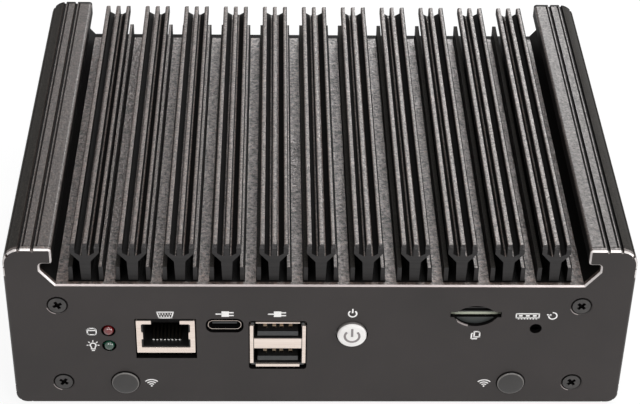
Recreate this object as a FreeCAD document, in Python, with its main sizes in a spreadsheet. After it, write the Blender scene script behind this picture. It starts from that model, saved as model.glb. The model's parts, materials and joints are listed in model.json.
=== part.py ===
"""Fanless firewall mini PC: a finned aluminium shell closed by two panels and a bottom cover.

Millimetres. X runs to the right as seen from the front, Y to the rear and Z up. The origin is
the middle of the footprint, on the surface that the feet stand on. Rear pieces are drawn as
front pieces, as seen by someone who faces the rear panel, and then turned half round.
"""

import FreeCAD, Part
import Sketcher

import math
import os
import re

SIZES = {
    # Case
    "case_width": 168,
    "case_depth": 130,
    "case_height": 53.9,
    "foot_height": 2.5,
    "foot_radius": 5,
    "foot_side_inset": 22,
    "foot_end_inset": 20,
    "foot_bevel": 0.6,
    "panel_thickness": 1.5,
    "panel_bevel": 0.45,
    "top_corner_radius": 5,
    "bottom_corner_radius": 3,
    # Shell section
    "wall_thickness": 4,
    "fin_height": 11.8,
    "base_thickness": 5.6,
    "wing_width": 13,
    "hook_depth": 4.9,
    "hook_overhang": 3.3,
    "hook_radius": 0.8,
    "shoulder_rise": 4.7,
    "shoulder_run": 3.8,
    "ledge_thickness": 3.5,
    "cover_inset": 7.8,
    "cover_thickness": 1.5,
    "cover_clearance": 0.2,
    # Grooves along the shell
    "groove_width": 1.0,
    "groove_depth": 0.9,
    "line_width": 0.6,
    "line_depth": 0.5,
    "line_step": 1.05,
    "outer_groove": 4.5,
    "inner_groove": 8.1,
    "upper_line": 6.1,
    "second_line": 9.15,
    "third_line": 6.2,
    "lower_line": 3.6,
    "bottom_line": 4.3,
    "top_corner_angle": 38,
    "bottom_corner_angle": 48,
    # Fins
    "fin_count": 11,
    "fin_margin": 8.5,
    "fin_drop": 0.6,
    "front_setback": 0.75,
    "rear_setback": 0.25,
    "fin_root": 0.5,
    "trunk_width": 2.5,
    "trunk_height": 6.2,
    "branch_flare": 0.25,
    "branch_rise": 2.8,
    "prong_pitch": 3.2,
    "prong_width": 1.3,
    "fork_depth": 3,
    "fork_rise": 0.8,
    "fork_flat": 0.6,
    "short_fin_offset": 4.05,
    "short_fin_width": 1.15,
    "short_fin_height": 4.4,
    "tip_length": 1.25,
    "tip_drop": 0.7,
    # Screws
    "screw_inset": 13.5,
    "screw_low": 7.65,
    "screw_drop": 1.5,
    "port_width": 6.2,
    "port_reach": 3.1,
    "thread_radius": 1.5,
    "thread_clearance": 0.05,
    "flat_head_radius": 2.95,
    "countersink_margin": 0.1,
    "recess_length": 2.6,
    "recess_width": 0.85,
    "recess_depth": 1.1,
    "panel_screw_length": 8,
    "cover_screw_length": 5,
    "cover_screw_inset": 15,
    "tap_margin": 0.4,
    "bracket_spacing": 75,
    "bracket_hole_radius": 1.65,
    # Main board and what holds it
    "board_thickness": 1.6,
    "board_edge_gap": 0.4,
    "board_side_gap": 3,
    "standoff_height": 4.9,
    "standoff_radius": 2.9,
    "board_screw_side": 22,
    "board_screw_gap": 0.6,
    "board_notch_gap": 0.6,
    "board_screw_length": 5.5,
    "pan_head_radius": 2.75,
    "pan_head_height": 1.9,
    # Network-type sockets
    "com_place": -41.8,
    "lan_count": 4,
    "first_lan_place": -10,
    "lan_pitch": 20,
    "jack_width": 15.9,
    "jack_height": 11.3,
    "jack_depth": 21,
    "jack_proud": 0.4,
    "jack_sheet": 0.35,
    "jack_gap": 0.35,
    "jack_gap_below": 2.3,
    "mouth_width": 13.2,
    "mouth_floor": 1.9,
    "mouth_height": 8,
    "latch_width": 7.7,
    "latch_depth": 10,
    "latch_roof": 0.8,
    "side_tab_reach": 0.45,
    "side_tab_height": 2.4,
    "side_tab_floor": 4.8,
    "plug_room_width": 12.4,
    "plug_room_depth": 14,
    "plug_room_lip": 0.2,
    "wire_count": 8,
    "wire_pitch": 1.02,
    "wire_thickness": 0.42,
    "wire_length": 8.5,
    "wire_start": 3.6,
    "wire_slope": 16,
    # USB-C socket
    "small_usb_place": -25.8,
    "small_usb_width": 9.2,
    "small_usb_height": 3.16,
    "small_usb_depth": 7.6,
    "small_usb_sheet": 0.3,
    "small_usb_round": 1.5,
    "small_usb_gap": 0.5,
    "small_usb_gap_below": 1.2,
    "small_usb_stop": 2,
    "small_tongue_width": 6.7,
    "small_tongue_thickness": 0.7,
    "small_tongue_back": 0.9,
    # Stacked USB-A sockets
    "usb_place": -11.4,
    "usb_width": 15.2,
    "usb_height": 15.8,
    "usb_depth": 17.5,
    "usb_proud": 0.2,
    "usb_drop": 0.6,
    "usb_sheet": 0.35,
    "usb_gap": 0.3,
    "usb_gap_below": 1.1,
    "usb_cut_round": 0.9,
    "usb_port_width": 12.8,
    "usb_port_height": 5.4,
    "usb_port_floor": 1.2,
    "usb_port_pitch": 8.85,
    "usb_port_depth": 12,
    "usb_tongue_width": 11.1,
    "usb_tongue_thickness": 1.6,
    "usb_tongue_floor": 0.6,
    "usb_tongue_back": 0.2,
    "usb_leg_width": 2,
    "usb_leg_inset": 4,
    "usb_pin_middle_pitch": 2,
    "usb_pin_outer_pitch": 2.5,
    "usb_pin_width": 1.0,
    "usb_pin_back": 1.4,
    "usb_pin_length": 6.4,
    "usb_pin_height": 0.2,
    # Power button and its switch
    "button_place": 8.75,
    "button_drop": 4.75,
    "button_radius": 4,
    "button_gap": 0.36,
    "button_proud": 1.1,
    "button_bevel": 0.4,
    "button_travel": 0.8,
    "flange_radius": 5,
    "flange_thickness": 0.9,
    "stem_radius": 1.5,
    "stem_reach": 1.2,
    "moving_gap": 0.35,
    "press_margin": 0.4,
    "switch_width": 6.2,
    "switch_depth": 4.2,
    # Clear-memory switch behind its pinhole
    "reset_place": 58.75,
    "reset_drop": 2.8,
    "reset_hole_radius": 1.65,
    "reset_radius": 1.0,
    "reset_travel": 0.5,
    "reset_reach": 1.0,
    "reset_setback": 1.6,
    # Indicator lamps
    "lamp_place": -57.3,
    "upper_lamp_drop": 3.8,
    "lower_lamp_drop": 9.1,
    "lamp_radius": 1.5,
    "lamp_gap": 0.45,
    "lamp_proud": 1.0,
    "lamp_flange_radius": 1.9,
    "lamp_flange_thickness": 0.6,
    "lamp_block_gap": 1.2,
    "lamp_block_width": 5.2,
    "lamp_block_depth": 6,
    # Card slot and reader
    "slot_place": 42.15,
    "slot_width": 13.85,
    "slot_height": 1.8,
    "slot_lift": 0.5,
    "thumb_width": 12.4,
    "thumb_height": 7,
    "reader_width": 14.6,
    "reader_depth": 15,
    "reader_height": 1.5,
    "reader_sheet": 0.2,
    "reader_floor": 0.4,
    "reader_stop": 3,
    # Antenna holes
    "antenna_place": 53.45,
    "antenna_hole_radius": 3.2,
    "antenna_plug_radius": 4.1,
    "antenna_plug_dome": 0.9,
    "antenna_stem_gap": 0.1,
    "antenna_barb": 0.4,
    "antenna_barb_length": 0.8,
    # Video socket and power inlet, placed as seen from behind
    "video_place": -32,
    "video_width": 15,
    "video_height": 5.6,
    "video_depth": 11.5,
    "video_proud": 0.4,
    "video_sheet": 0.35,
    "video_slant": 1.6,
    "video_step": 2.2,
    "video_gap": 0.5,
    "video_stop": 2.5,
    "video_tongue_width": 10.4,
    "video_tongue_thickness": 1.7,
    "video_tongue_back": 1.2,
    "inlet_place": -67,
    "inlet_width": 9,
    "inlet_depth": 14,
    "inlet_height": 11,
    "inlet_collar_radius": 4,
    "inlet_gap": 0.3,
    "inlet_bore_radius": 2.95,
    "inlet_bore_depth": 10,
    "inlet_pin_radius": 1.05,
    "inlet_pin_back": 1.5,
    # Processor and heat spreader
    "chip_width": 25,
    "chip_depth": 24,
    "chip_thickness": 1.2,
    "die_width": 11,
    "die_depth": 9,
    "die_thickness": 0.6,
    "spreader_width": 56,
    "spreader_depth": 46,
    # Memory
    "memory_gap": 1.2,
    "memory_front": -12,
    "memory_width": 67.6,
    "memory_depth": 30,
    "memory_thickness": 1.2,
    "memory_drop": 3.6,
    "memory_insertion": 3,
    "memory_chip_width": 9,
    "memory_chip_depth": 12,
    "memory_chip_thickness": 1,
    "memory_chip_count": 4,
    "memory_chip_pitch": 15,
    "socket_depth": 6.5,
    "socket_height": 5.2,
    "socket_slack": 0.1,
    "latch_arm_width": 2,
    "latch_arm_gap": 0.2,
    # Solid-state drive
    "drive_side_gap": 0.4,
    "drive_end_gap": 0.8,
    "drive_width": 22,
    "drive_length": 80,
    "drive_thickness": 0.8,
    "drive_drop": 3,
    "drive_insertion": 4,
    "drive_socket_depth": 8.7,
    "drive_socket_height": 4.2,
    "drive_chip_width": 14,
    "drive_chip_depth": 18,
    "drive_chip_thickness": 1.2,
    "drive_chip_count": 2,
    "drive_chip_pitch": 26,
    "drive_chip_margin": 10,
    "drive_notch_radius": 1.75,
    "drive_post_radius": 2.75,
    "drive_screw_radius": 1.0,
    "drive_screw_head": 2.6,
    "drive_screw_head_height": 0.8,
    # Coin cell
    "cell_place": 20.5,
    "cell_gap": 1.2,
    "cell_radius": 10,
    "cell_thickness": 3.2,
    "holder_wall": 1.2,
    "holder_floor": 1.4,
    "holder_slack": 0.1,
    # Small board parts
    "network_chip_width": 7,
    "network_chip_thickness": 0.9,
    "network_chip_gap": 0.4,
    "coil_place": -14,
    "coil_gap": 6.8,
    "coil_count": 4,
    "coil_pitch": 10,
    "coil_width": 7,
    "coil_height": 3.6,
    "can_place": -14,
    "can_count": 4,
    "can_pitch": 10,
    "can_radius": 3.15,
    "can_height": 6,
    "can_gap": 6.5,
}

DOC = FreeCAD.newDocument("firewall_mini_pc")
NODES = []

# Shared places, as expressions of the sizes
BOTTOM = "foot_height"
TOP = "(foot_height + case_height)"
SIDE = "case_width/2"
FRONT = "(-case_depth/2)"
PANEL_BACK = "(-case_depth/2 + panel_thickness)"
SHELL_LENGTH = "(case_depth - 2*panel_thickness)"
HOOK = "(case_width/2 - wing_width)"
BASE_TOP = "(foot_height + case_height - fin_height)"
FIN_TOP = f"({TOP} - fin_drop)"
BASE_UNDER = f"({BASE_TOP} - base_thickness)"
COVER_TOP = "(foot_height + cover_thickness)"
SCREW_SIDE = "(case_width/2 - screw_inset)"
SCREW_LOW = "(foot_height + screw_low)"
SCREW_HIGH = f"({BASE_UNDER} - screw_drop)"
BOARD_TOP = f"({BASE_UNDER} - standoff_height)"
BOARD_UNDER = f"({BOARD_TOP} - board_thickness)"
BOARD_FRONT = f"({PANEL_BACK} + board_edge_gap)"
BUTTON_HEIGHT = f"({BOARD_UNDER} - button_drop)"
SWITCH_FACE = f"({PANEL_BACK} + flange_thickness + button_travel + press_margin)"
RESET_HEIGHT = f"({BOARD_UNDER} - reset_drop)"
RESET_FACE = f"({PANEL_BACK} + reset_setback + reset_reach)"
LAMP_BASE = f"({PANEL_BACK} + lamp_block_gap)"
INLET_HEIGHT = f"({BOARD_UNDER} - inlet_height/2)"
JACK_BACK = "(case_depth/2 + jack_proud - jack_depth)"
BOARD_SCREW_END = f"({JACK_BACK} - board_screw_gap - pan_head_radius)"
DRIVE_PLACE = "(reset_place - switch_width/2 - drive_side_gap - drive_width/2)"
DRIVE_BACK = f"({BOARD_SCREW_END} - pan_head_radius - drive_end_gap)"
DRIVE_FRONT = f"({DRIVE_BACK} - drive_socket_depth + drive_insertion - drive_length)"
NETWORK_CHIP_FRONT = f"({BOARD_SCREW_END} - pan_head_radius - network_chip_gap - network_chip_width)"
HOLDER_RADIUS = "(cell_radius + holder_slack + holder_wall)"
SOCKET_HALF = "(memory_width/2 + latch_arm_gap + latch_arm_width)"
MEMORY_PLACE = f"(cell_place - {HOLDER_RADIUS} - memory_gap - {SOCKET_HALF})"
CAN_FRONT = f"({FRONT} - usb_proud + usb_depth + can_gap)"

FOUR_CORNERS = [(-1, -1), (1, -1), (1, 1), (-1, 1)]
TURNED_ROUND = FreeCAD.Rotation(FreeCAD.Vector(0, 0, 1), 180)
ALONG_Y = FreeCAD.Rotation(FreeCAD.Vector(1, 0, 0), -90)
ALONG_MINUS_Y = FreeCAD.Rotation(FreeCAD.Vector(1, 0, 0), 90)


# Sheet and expressions

def fill_sheet():
    """Write every size into the sheet under its own name."""
    sheet = DOC.addObject("Spreadsheet::Sheet", "dims")
    for row, (name, number) in enumerate(SIZES.items(), start=1):
        sheet.set(f"A{row}", name)
        sheet.set(f"B{row}", str(number))
        sheet.setAlias(f"B{row}", name)
    DOC.recompute()


def in_sheet(text):
    """Return an expression in which each size name points at its cell."""
    return re.sub(r"[a-z][a-z0-9_]*", lambda m: f"dims.{m[0]}" if m[0] in SIZES else m[0], text)


def bind(item, **expressions):
    """Bind properties of an object to expressions of the sizes."""
    for name, text in expressions.items():
        item.setExpression(name, in_sheet(text))


def put(item, x="0", y="0", z="0", rotation=FreeCAD.Rotation()):
    """Place an object at expressions of the sizes."""
    item.Placement = FreeCAD.Placement(FreeCAD.Vector(), rotation)
    for axis, text in zip("xyz", (x, y, z)):
        item.setExpression(f"Placement.Base.{axis}", in_sheet(text))
    return item


def node(item, label):
    """Give a finished sub-part its name and note it for the hand-over."""
    item.Label = label
    NODES.append(item)
    return item


# Sketches and features of bodies

def new_body(label):
    """Start a body that becomes a sub-part."""
    return node(DOC.addObject("PartDesign::Body", label), label)


def origin_of(body, role):
    """Return a plane or axis of the body's own origin."""
    return next(item for item in body.Origin.OriginFeatures if item.Role == role)


def sketch_on(body, role, offset="0"):
    """Start a sketch on one of the body's own planes, moved along its normal."""
    sketch = body.newObject("Sketcher::SketchObject", f"{body.Name}_sketch")
    sketch.AttachmentSupport = [(origin_of(body, role), "")]
    sketch.MapMode = "FlatFace"
    sketch.setExpression("AttachmentOffset.Base.z", in_sheet(offset))
    return sketch


def arc_between(start, end, radius, turn):
    """Return the shorter arc from start to end, turning left (1) or right (-1)."""
    chord = end - start
    normal = FreeCAD.Vector(-chord.y, chord.x, 0).normalize()
    rise = math.sqrt(max(radius ** 2 - chord.Length ** 2 / 4, 0))
    centre = (start + end) * 0.5 + normal * (rise * turn)
    first, last = (start, end) if turn > 0 else (end, start)
    angles = [math.atan2(point.y - centre.y, point.x - centre.x) for point in (first, last)]
    return Part.ArcOfCircle(Part.Circle(centre, FreeCAD.Vector(0, 0, 1), radius), *angles)


def draw(sketch, corners):
    """Draw a closed outline and bind every corner and radius to the sizes.

    A corner is (across, up) or (across, up, radius, turn); the second form makes the stretch to
    the next corner an arc.
    """
    def number(text):
        return float(sketch.evalExpression(in_sheet(text)))

    points = [FreeCAD.Vector(number(c[0]), number(c[1]), 0) for c in corners]
    first = sketch.GeometryCount
    rules, bound = [], []
    ends = []
    for i, corner in enumerate(corners):
        start, end = points[i], points[(i + 1) % len(points)]
        if len(corner) == 2:
            sketch.addGeometry(Part.LineSegment(start, end))
            ends.append((1, 2))
        else:
            radius, turn = corner[2:]
            sketch.addGeometry(arc_between(start, end, number(radius), turn))
            ends.append((1, 2) if turn > 0 else (2, 1))
            rules.append(Sketcher.Constraint("Radius", first + i, number(radius)))
            bound.append(radius)
    for i, corner in enumerate(corners):
        begin = ends[i][0]
        rules.append(Sketcher.Constraint("DistanceX", -1, 1, first + i, begin, points[i].x))
        rules.append(Sketcher.Constraint("DistanceY", -1, 1, first + i, begin, points[i].y))
        bound += corner[:2]
    for i in range(len(corners)):
        j = (i + 1) % len(corners)
        rules.append(Sketcher.Constraint("Coincident", first + i, ends[i][1], first + j, ends[j][0]))
    add_rules(sketch, rules, bound)


def draw_circles(sketch, places, radius):
    """Draw equal circles about the given places."""
    def number(text):
        return float(sketch.evalExpression(in_sheet(text)))

    for x, y in places:
        at = FreeCAD.Vector(number(x), number(y), 0)
        circle = sketch.addGeometry(Part.Circle(at, FreeCAD.Vector(0, 0, 1), number(radius)))
        rules = [
            Sketcher.Constraint("Radius", circle, number(radius)),
            Sketcher.Constraint("DistanceX", -1, 1, circle, 3, at.x),
            Sketcher.Constraint("DistanceY", -1, 1, circle, 3, at.y),
        ]
        add_rules(sketch, rules, [radius, x, y])


def add_rules(sketch, rules, bound):
    """Add constraints and bind the first ones to expressions."""
    start = sketch.ConstraintCount
    sketch.addConstraint(rules)
    for i, text in enumerate(bound):
        sketch.setExpression(f"Constraints[{start + i}]", in_sheet(text))


def rectangle(x, low, width, height):
    """Return the corners of a rectangle about x."""
    left, right, high = f"{x} - ({width})/2", f"{x} + ({width})/2", f"{low} + {height}"
    return [(left, low), (right, low), (right, high), (left, high)]


def rounded_rectangle(x, low, width, height, radius):
    """Return the corners of a rectangle about x with rounded corners."""
    left, right, high = f"{x} - ({width})/2", f"{x} + ({width})/2", f"{low} + {height}"
    return [
        (f"{left} + {radius}", low),
        (f"{right} - ({radius})", low, radius, 1),
        (right, f"{low} + {radius}"),
        (right, f"{high} - ({radius})", radius, 1),
        (f"{right} - ({radius})", high),
        (f"{left} + {radius}", high, radius, 1),
        (left, f"{high} - ({radius})"),
        (left, f"{low} + {radius}", radius, 1),
    ]


def pad(body, sketch, length, backwards=False, both_ways=False):
    """Raise a sketch by a length."""
    feature = body.newObject("PartDesign::Pad", f"{body.Name}_pad")
    feature.Profile = sketch
    feature.Reversed = backwards
    feature.SideType = "Symmetric" if both_ways else "One side"
    bind(feature, Length=length)
    return feature


def pocket(body, sketch, depth=None, backwards=False):
    """Cut a sketch out of the body, right through in both directions or to a depth."""
    feature = body.newObject("PartDesign::Pocket", f"{body.Name}_pocket")
    feature.Profile = sketch
    if depth is None:
        feature.Type = "ThroughAll"
        feature.SideType = "Symmetric"
    else:
        feature.Reversed = backwards
        bind(feature, Length=depth)
    return feature


def mirror(body, features):
    """Repeat features on the other side of the middle plane."""
    feature = body.newObject("PartDesign::Mirrored", f"{body.Name}_mirror")
    feature.Originals = features
    feature.MirrorPlane = (origin_of(body, "YZ_Plane"), [""])
    body.Tip = feature
    return feature


def countersunk_holes(body, sketch, backwards=False):
    """Drill the sketch's circles for flat-headed screws."""
    DOC.recompute()
    feature = body.newObject("PartDesign::Hole", f"{body.Name}_hole")
    feature.Profile = sketch
    feature.Reversed = backwards
    DOC.recompute()
    feature.ThreadType = "None"
    feature.DepthType = "ThroughAll"
    feature.HoleCutType = "Countersink"
    feature.HoleCutCustomValues = True
    feature.HoleCutCountersinkAngle = 90
    bind(
        feature,
        Diameter="2*(thread_radius + thread_clearance)",
        HoleCutDiameter="2*(flat_head_radius + countersink_margin)",
    )
    return feature


def turn(body, sketch):
    """Turn a sketch about its upright axis."""
    feature = body.newObject("PartDesign::Revolution", f"{body.Name}_turn")
    feature.Profile = sketch
    feature.ReferenceAxis = (sketch, ["V_Axis"])
    feature.Angle = 360
    return feature


# Solids that are joined and cut

def block(length, depth, height, x, y, z):
    """Make a box about x, from y to the rear and from z upwards."""
    item = DOC.addObject("Part::Box", "Block")
    bind(item, Length=length, Width=depth, Height=height)
    return put(item, f"{x} - ({length})/2", y, z)


def rod(radius, length, x, y, z):
    """Make a round rod that runs from y to the rear."""
    item = DOC.addObject("Part::Cylinder", "Rod")
    bind(item, Radius=radius, Height=length)
    return put(item, x, y, z, ALONG_Y)


def post(radius, height, x, y, z):
    """Make an upright round post that starts at z."""
    item = DOC.addObject("Part::Cylinder", "Post")
    bind(item, Radius=radius, Height=height)
    return put(item, x, y, z)


def join(*items):
    """Join solids into one."""
    item = DOC.addObject("Part::MultiFuse", "Join")
    item.Shapes = list(items)
    return item


def cut(base, *tools):
    """Cut solids out of another."""
    item = DOC.addObject("Part::Cut", "Cut")
    item.Base = base
    item.Tool = tools[0] if len(tools) == 1 else join(*tools)
    return item


def group(items):
    """Gather separate equal solids under one name."""
    item = DOC.addObject("Part::Compound", "Group")
    item.Links = items
    return item


def face_rear(item):
    """Turn a piece drawn for the front round to the rear."""
    item.Placement = FreeCAD.Placement(FreeCAD.Vector(), TURNED_ROUND)
    return item


# Outline shared by the shell and the panels

def outer_half():
    """Return the right half of the outline, from the middle of the bottom round to the fin base."""
    low_corner = f"{BOTTOM} + bottom_corner_radius"
    high_corner = f"{TOP} - top_corner_radius"
    hook_floor = f"{TOP} - hook_depth"
    throat = f"{HOOK} + hook_overhang"
    return [
        ("0", BOTTOM),
        (f"{SIDE} - bottom_corner_radius", BOTTOM, "bottom_corner_radius", 1),
        (SIDE, low_corner),
        (SIDE, high_corner, "top_corner_radius", 1),
        (f"{SIDE} - top_corner_radius", TOP),
        (f"{HOOK} + hook_radius", TOP, "hook_radius", 1),
        (HOOK, f"{TOP} - hook_radius"),
        (HOOK, f"{hook_floor} + hook_radius", "hook_radius", 1),
        (f"{HOOK} + hook_radius", hook_floor),
        (f"{throat} - hook_radius", hook_floor, "hook_radius", -1),
        (throat, f"{hook_floor} - hook_radius"),
        (throat, f"{BASE_TOP} + shoulder_rise"),
        (f"{throat} - shoulder_run", BASE_TOP),
        ("0", BASE_TOP),
    ]


def groove(x, z, angle, width, depth):
    """Return the corners of a groove whose mouth is at (x, z) and opens towards an angle."""
    out_x, out_z = f"cos({angle} deg)", f"sin({angle} deg)"

    def corner(along, inwards):
        return (
            f"{x} - ({along})*{out_z} - ({inwards})*{out_x}",
            f"{z} + ({along})*{out_x} - ({inwards})*{out_z}",
        )

    mouth, floor = f"{width}/2", f"{width}/4"
    return [
        corner(f"-{mouth}", f"-{depth}/4"),
        corner(mouth, f"-{depth}/4"),
        corner(floor, depth),
        corner(f"-{floor}", depth),
    ]


def groove_sketch(body):
    """Draw the grooves of the right side, from the inner top one round to the bottom one."""
    sketch = sketch_on(body, "XZ_Plane")
    for inset in ("outer_groove", "inner_groove"):
        draw(sketch, groove(f"{SIDE} - {inset}", TOP, "90", "groove_width", "groove_depth"))
    draw(sketch, groove(
        f"{SIDE} - top_corner_radius*(1 - cos(top_corner_angle*1 deg))",
        f"{TOP} - top_corner_radius*(1 - sin(top_corner_angle*1 deg))",
        "top_corner_angle*1", "groove_width", "groove_depth",
    ))
    upper = [f"{TOP} - {drop}" for drop in ("upper_line", "second_line")]
    lower = [f"{BOTTOM} + {rise}" for rise in ("third_line", "lower_line")]
    for height in upper + lower:
        draw(sketch, groove(SIDE, height, "0", "line_width", "line_depth"))
    draw(sketch, groove(
        f"{SIDE} - bottom_corner_radius*(1 - cos(bottom_corner_angle*1 deg))",
        f"{BOTTOM} + bottom_corner_radius*(1 - sin(bottom_corner_angle*1 deg))",
        "-bottom_corner_angle*1", "line_width", "line_depth",
    ))
    draw(sketch, groove(f"{SIDE} - bottom_line", BOTTOM, "270", "line_width", "line_depth"))
    return sketch


def panel_screw_places():
    """Return where the four screws of a panel sit."""
    return [(f"{sign}*{SCREW_SIDE}", height) for sign in (-1, 1) for height in (SCREW_LOW, SCREW_HIGH)]


# Case

def shell_inside():
    """Return the inner right half of the shell's section, from the middle down to the rebate."""
    wall = f"{SIDE} - wall_thickness"
    port_in, port_out = f"{SCREW_SIDE} - port_width/2", f"{SCREW_SIDE} + port_width/2"
    ledge = f"{COVER_TOP} + ledge_thickness"
    rebate = f"{SIDE} - cover_inset"
    return [
        ("0", BASE_UNDER),
        (port_in, BASE_UNDER),
        (port_in, f"{SCREW_HIGH} - port_reach"),
        (port_out, f"{SCREW_HIGH} - port_reach"),
        (port_out, BASE_UNDER),
        (wall, BASE_UNDER),
        (wall, ledge),
        (port_out, ledge),
        (port_out, f"{SCREW_LOW} + port_reach"),
        (port_in, f"{SCREW_LOW} + port_reach"),
        (port_in, COVER_TOP),
        (rebate, COVER_TOP),
        (rebate, BOTTOM),
    ]


def fin_outline(x):
    """Return the outline of a three-pronged fin about x."""
    root = f"{BASE_TOP} - fin_root"
    fork = f"{FIN_TOP} - fork_depth"
    half = [
        ("trunk_width/2", root),
        ("trunk_width/2 + branch_flare", f"{BASE_TOP} + trunk_height"),
        ("prong_pitch + prong_width/2", f"{BASE_TOP} + trunk_height + branch_rise"),
        ("prong_pitch + prong_width/2", FIN_TOP),
        ("prong_pitch - prong_width/2", FIN_TOP),
        ("prong_pitch - prong_width/2", f"{fork} + fork_rise"),
        ("prong_width/2 + fork_flat", fork),
        ("prong_width/2", fork),
        ("prong_width/2", FIN_TOP),
    ]
    right = [(f"{x} + {across}", up) for across, up in half]
    left = [(f"{x} - ({across})", up) for across, up in reversed(half)]
    return right + left


def heatsink_shell():
    """Extruded shell with its fins, screw channels and the rebate of the bottom cover."""
    body = new_body("heatsink_shell")
    section = sketch_on(body, "XZ_Plane")
    draw(section, outer_half()[1:] + shell_inside())
    half = pad(body, section, SHELL_LENGTH, both_ways=True)
    lines = sketch_on(body, "XZ_Plane")
    for inset in ("outer_groove", "inner_groove"):
        draw(lines, groove(f"{SIDE} - {inset} - line_step", TOP, "90", "line_width", "line_depth"))
    mirror(body, [half, pocket(body, groove_sketch(body)), pocket(body, lines)])

    first = f"-({HOOK} - fin_margin)"
    fin = sketch_on(body, "XZ_Plane")
    draw(fin, fin_outline(first))
    for side in ("-", "+"):
        draw(fin, rectangle(
            f"{first} {side} short_fin_offset", f"{BASE_TOP} - fin_root",
            "short_fin_width", "fin_root + short_fin_height",
        ))
    fins = pad(body, fin, f"{SHELL_LENGTH} - 2*rear_setback", both_ways=True)
    row = body.newObject("PartDesign::LinearPattern", "fin_row")
    row.Originals = [fins]
    row.Direction = (origin_of(body, "X_Axis"), [""])
    bind(row, Length=f"2*({HOOK} - fin_margin)", Occurrences="fin_count")
    body.Tip = row

    ends = sketch_on(body, "YZ_Plane")
    front = f"-{SHELL_LENGTH}/2"
    draw(ends, [
        (front, BASE_TOP),
        (f"{front} + front_setback", BASE_TOP),
        (f"{front} + front_setback", f"{FIN_TOP} - tip_drop"),
        (f"{front} + front_setback + tip_length", FIN_TOP),
        (front, FIN_TOP),
    ])
    bevel = pocket(body, ends, f"2*{HOOK} - 2*hook_radius")
    bevel.SideType = "Symmetric"

    channels = sketch_on(body, "XZ_Plane")
    draw_circles(channels, panel_screw_places(), "thread_radius + thread_clearance")
    pocket(body, channels)
    taps = sketch_on(body, "XY_Plane", COVER_TOP)
    draw_circles(taps, cover_screw_places(), "thread_radius + thread_clearance")
    pocket(body, taps, "cover_screw_length - cover_thickness + tap_margin", backwards=True)


def blank_panel(label):
    """End panel with the shell's outline, a bevelled outer edge and its screw holes."""
    body = new_body(label)
    outline = sketch_on(body, "XZ_Plane", "case_depth/2")
    draw(outline, outer_half())
    whole = mirror(body, [pad(body, outline, "panel_thickness", backwards=True)])
    DOC.recompute()
    outer = min(range(len(whole.Shape.Faces)), key=lambda i: whole.Shape.Faces[i].CenterOfMass.y)
    bevel = body.newObject("PartDesign::Chamfer", f"{label}_bevel")
    bevel.Base = (whole, [f"Face{outer + 1}"])
    bind(bevel, Size="panel_bevel")
    mirror(body, [pocket(body, groove_sketch(body))])
    screws = sketch_on(body, "XZ_Plane", "case_depth/2")
    draw_circles(screws, panel_screw_places(), "thread_radius")
    countersunk_holes(body, screws)
    return body


def cut_outline(body, corners):
    """Cut one outline through a panel."""
    sketch = sketch_on(body, "XZ_Plane")
    draw(sketch, corners)
    pocket(body, sketch)


def cut_holes(body, places, radius):
    """Cut equal round holes through a panel."""
    sketch = sketch_on(body, "XZ_Plane")
    draw_circles(sketch, places, radius)
    pocket(body, sketch)


def jack_cut_out(x):
    """Return the panel opening of a network-type socket."""
    low = f"{BOARD_UNDER} - jack_height - jack_gap_below"
    return rectangle(x, low, "jack_width + 2*jack_gap", "jack_height + jack_gap_below + jack_gap")


def front_panel():
    """Front panel with the openings of everything that faces the user."""
    body = blank_panel("front_panel")
    cut_outline(body, jack_cut_out("com_place"))
    cut_outline(body, rounded_rectangle(
        "small_usb_place", f"{BOARD_UNDER} - small_usb_height - small_usb_gap_below",
        "small_usb_width + 2*small_usb_gap", "small_usb_height + small_usb_gap_below + small_usb_gap",
        "small_usb_round + small_usb_gap",
    ))
    cut_outline(body, rounded_rectangle(
        "usb_place", f"{BOARD_UNDER} - usb_drop - usb_height - usb_gap_below",
        "usb_width + 2*usb_gap", "usb_height + usb_gap_below + usb_gap", "usb_cut_round",
    ))
    cut_outline(body, rectangle(
        "slot_place", f"{BOARD_TOP} + slot_lift - slot_height/2", "slot_width", "slot_height",
    ))
    arc = "(thumb_width^2 + thumb_height^2)/(4*thumb_height)"
    cut_outline(body, [
        ("slot_place - thumb_width/2", BOARD_TOP, arc, 1),
        ("slot_place + thumb_width/2", BOARD_TOP, arc, 1),
    ])
    cut_holes(body, [("button_place", BUTTON_HEIGHT)], "button_radius + button_gap")
    cut_holes(body, [("reset_place", RESET_HEIGHT)], "reset_hole_radius")
    lamps = [("lamp_place", f"{BOARD_UNDER} - {drop}") for drop in ("upper_lamp_drop", "lower_lamp_drop")]
    cut_holes(body, lamps, "lamp_radius + lamp_gap")
    cut_holes(body, [("-antenna_place", SCREW_LOW), ("antenna_place", SCREW_LOW)], "antenna_hole_radius")


def rear_panel():
    """Rear panel with the openings of the network, video and power sockets."""
    body = blank_panel("rear_panel")
    for index in range(SIZES["lan_count"]):
        cut_outline(body, jack_cut_out(lan_place(index)))
    cut_outline(body, rectangle(
        "video_place", f"{BOARD_UNDER} - video_height - video_gap",
        "video_width + 2*video_gap", "video_height + 2*video_gap",
    ))
    cut_holes(body, [("inlet_place", INLET_HEIGHT)], "inlet_collar_radius + inlet_gap")
    face_rear(body)


def cover_screw_places():
    """Return where the four screws of the bottom cover sit."""
    end = "(case_depth/2 - cover_screw_inset)"
    return [(f"{a}*{SCREW_SIDE}", f"{b}*{end}") for a, b in FOUR_CORNERS]


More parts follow.
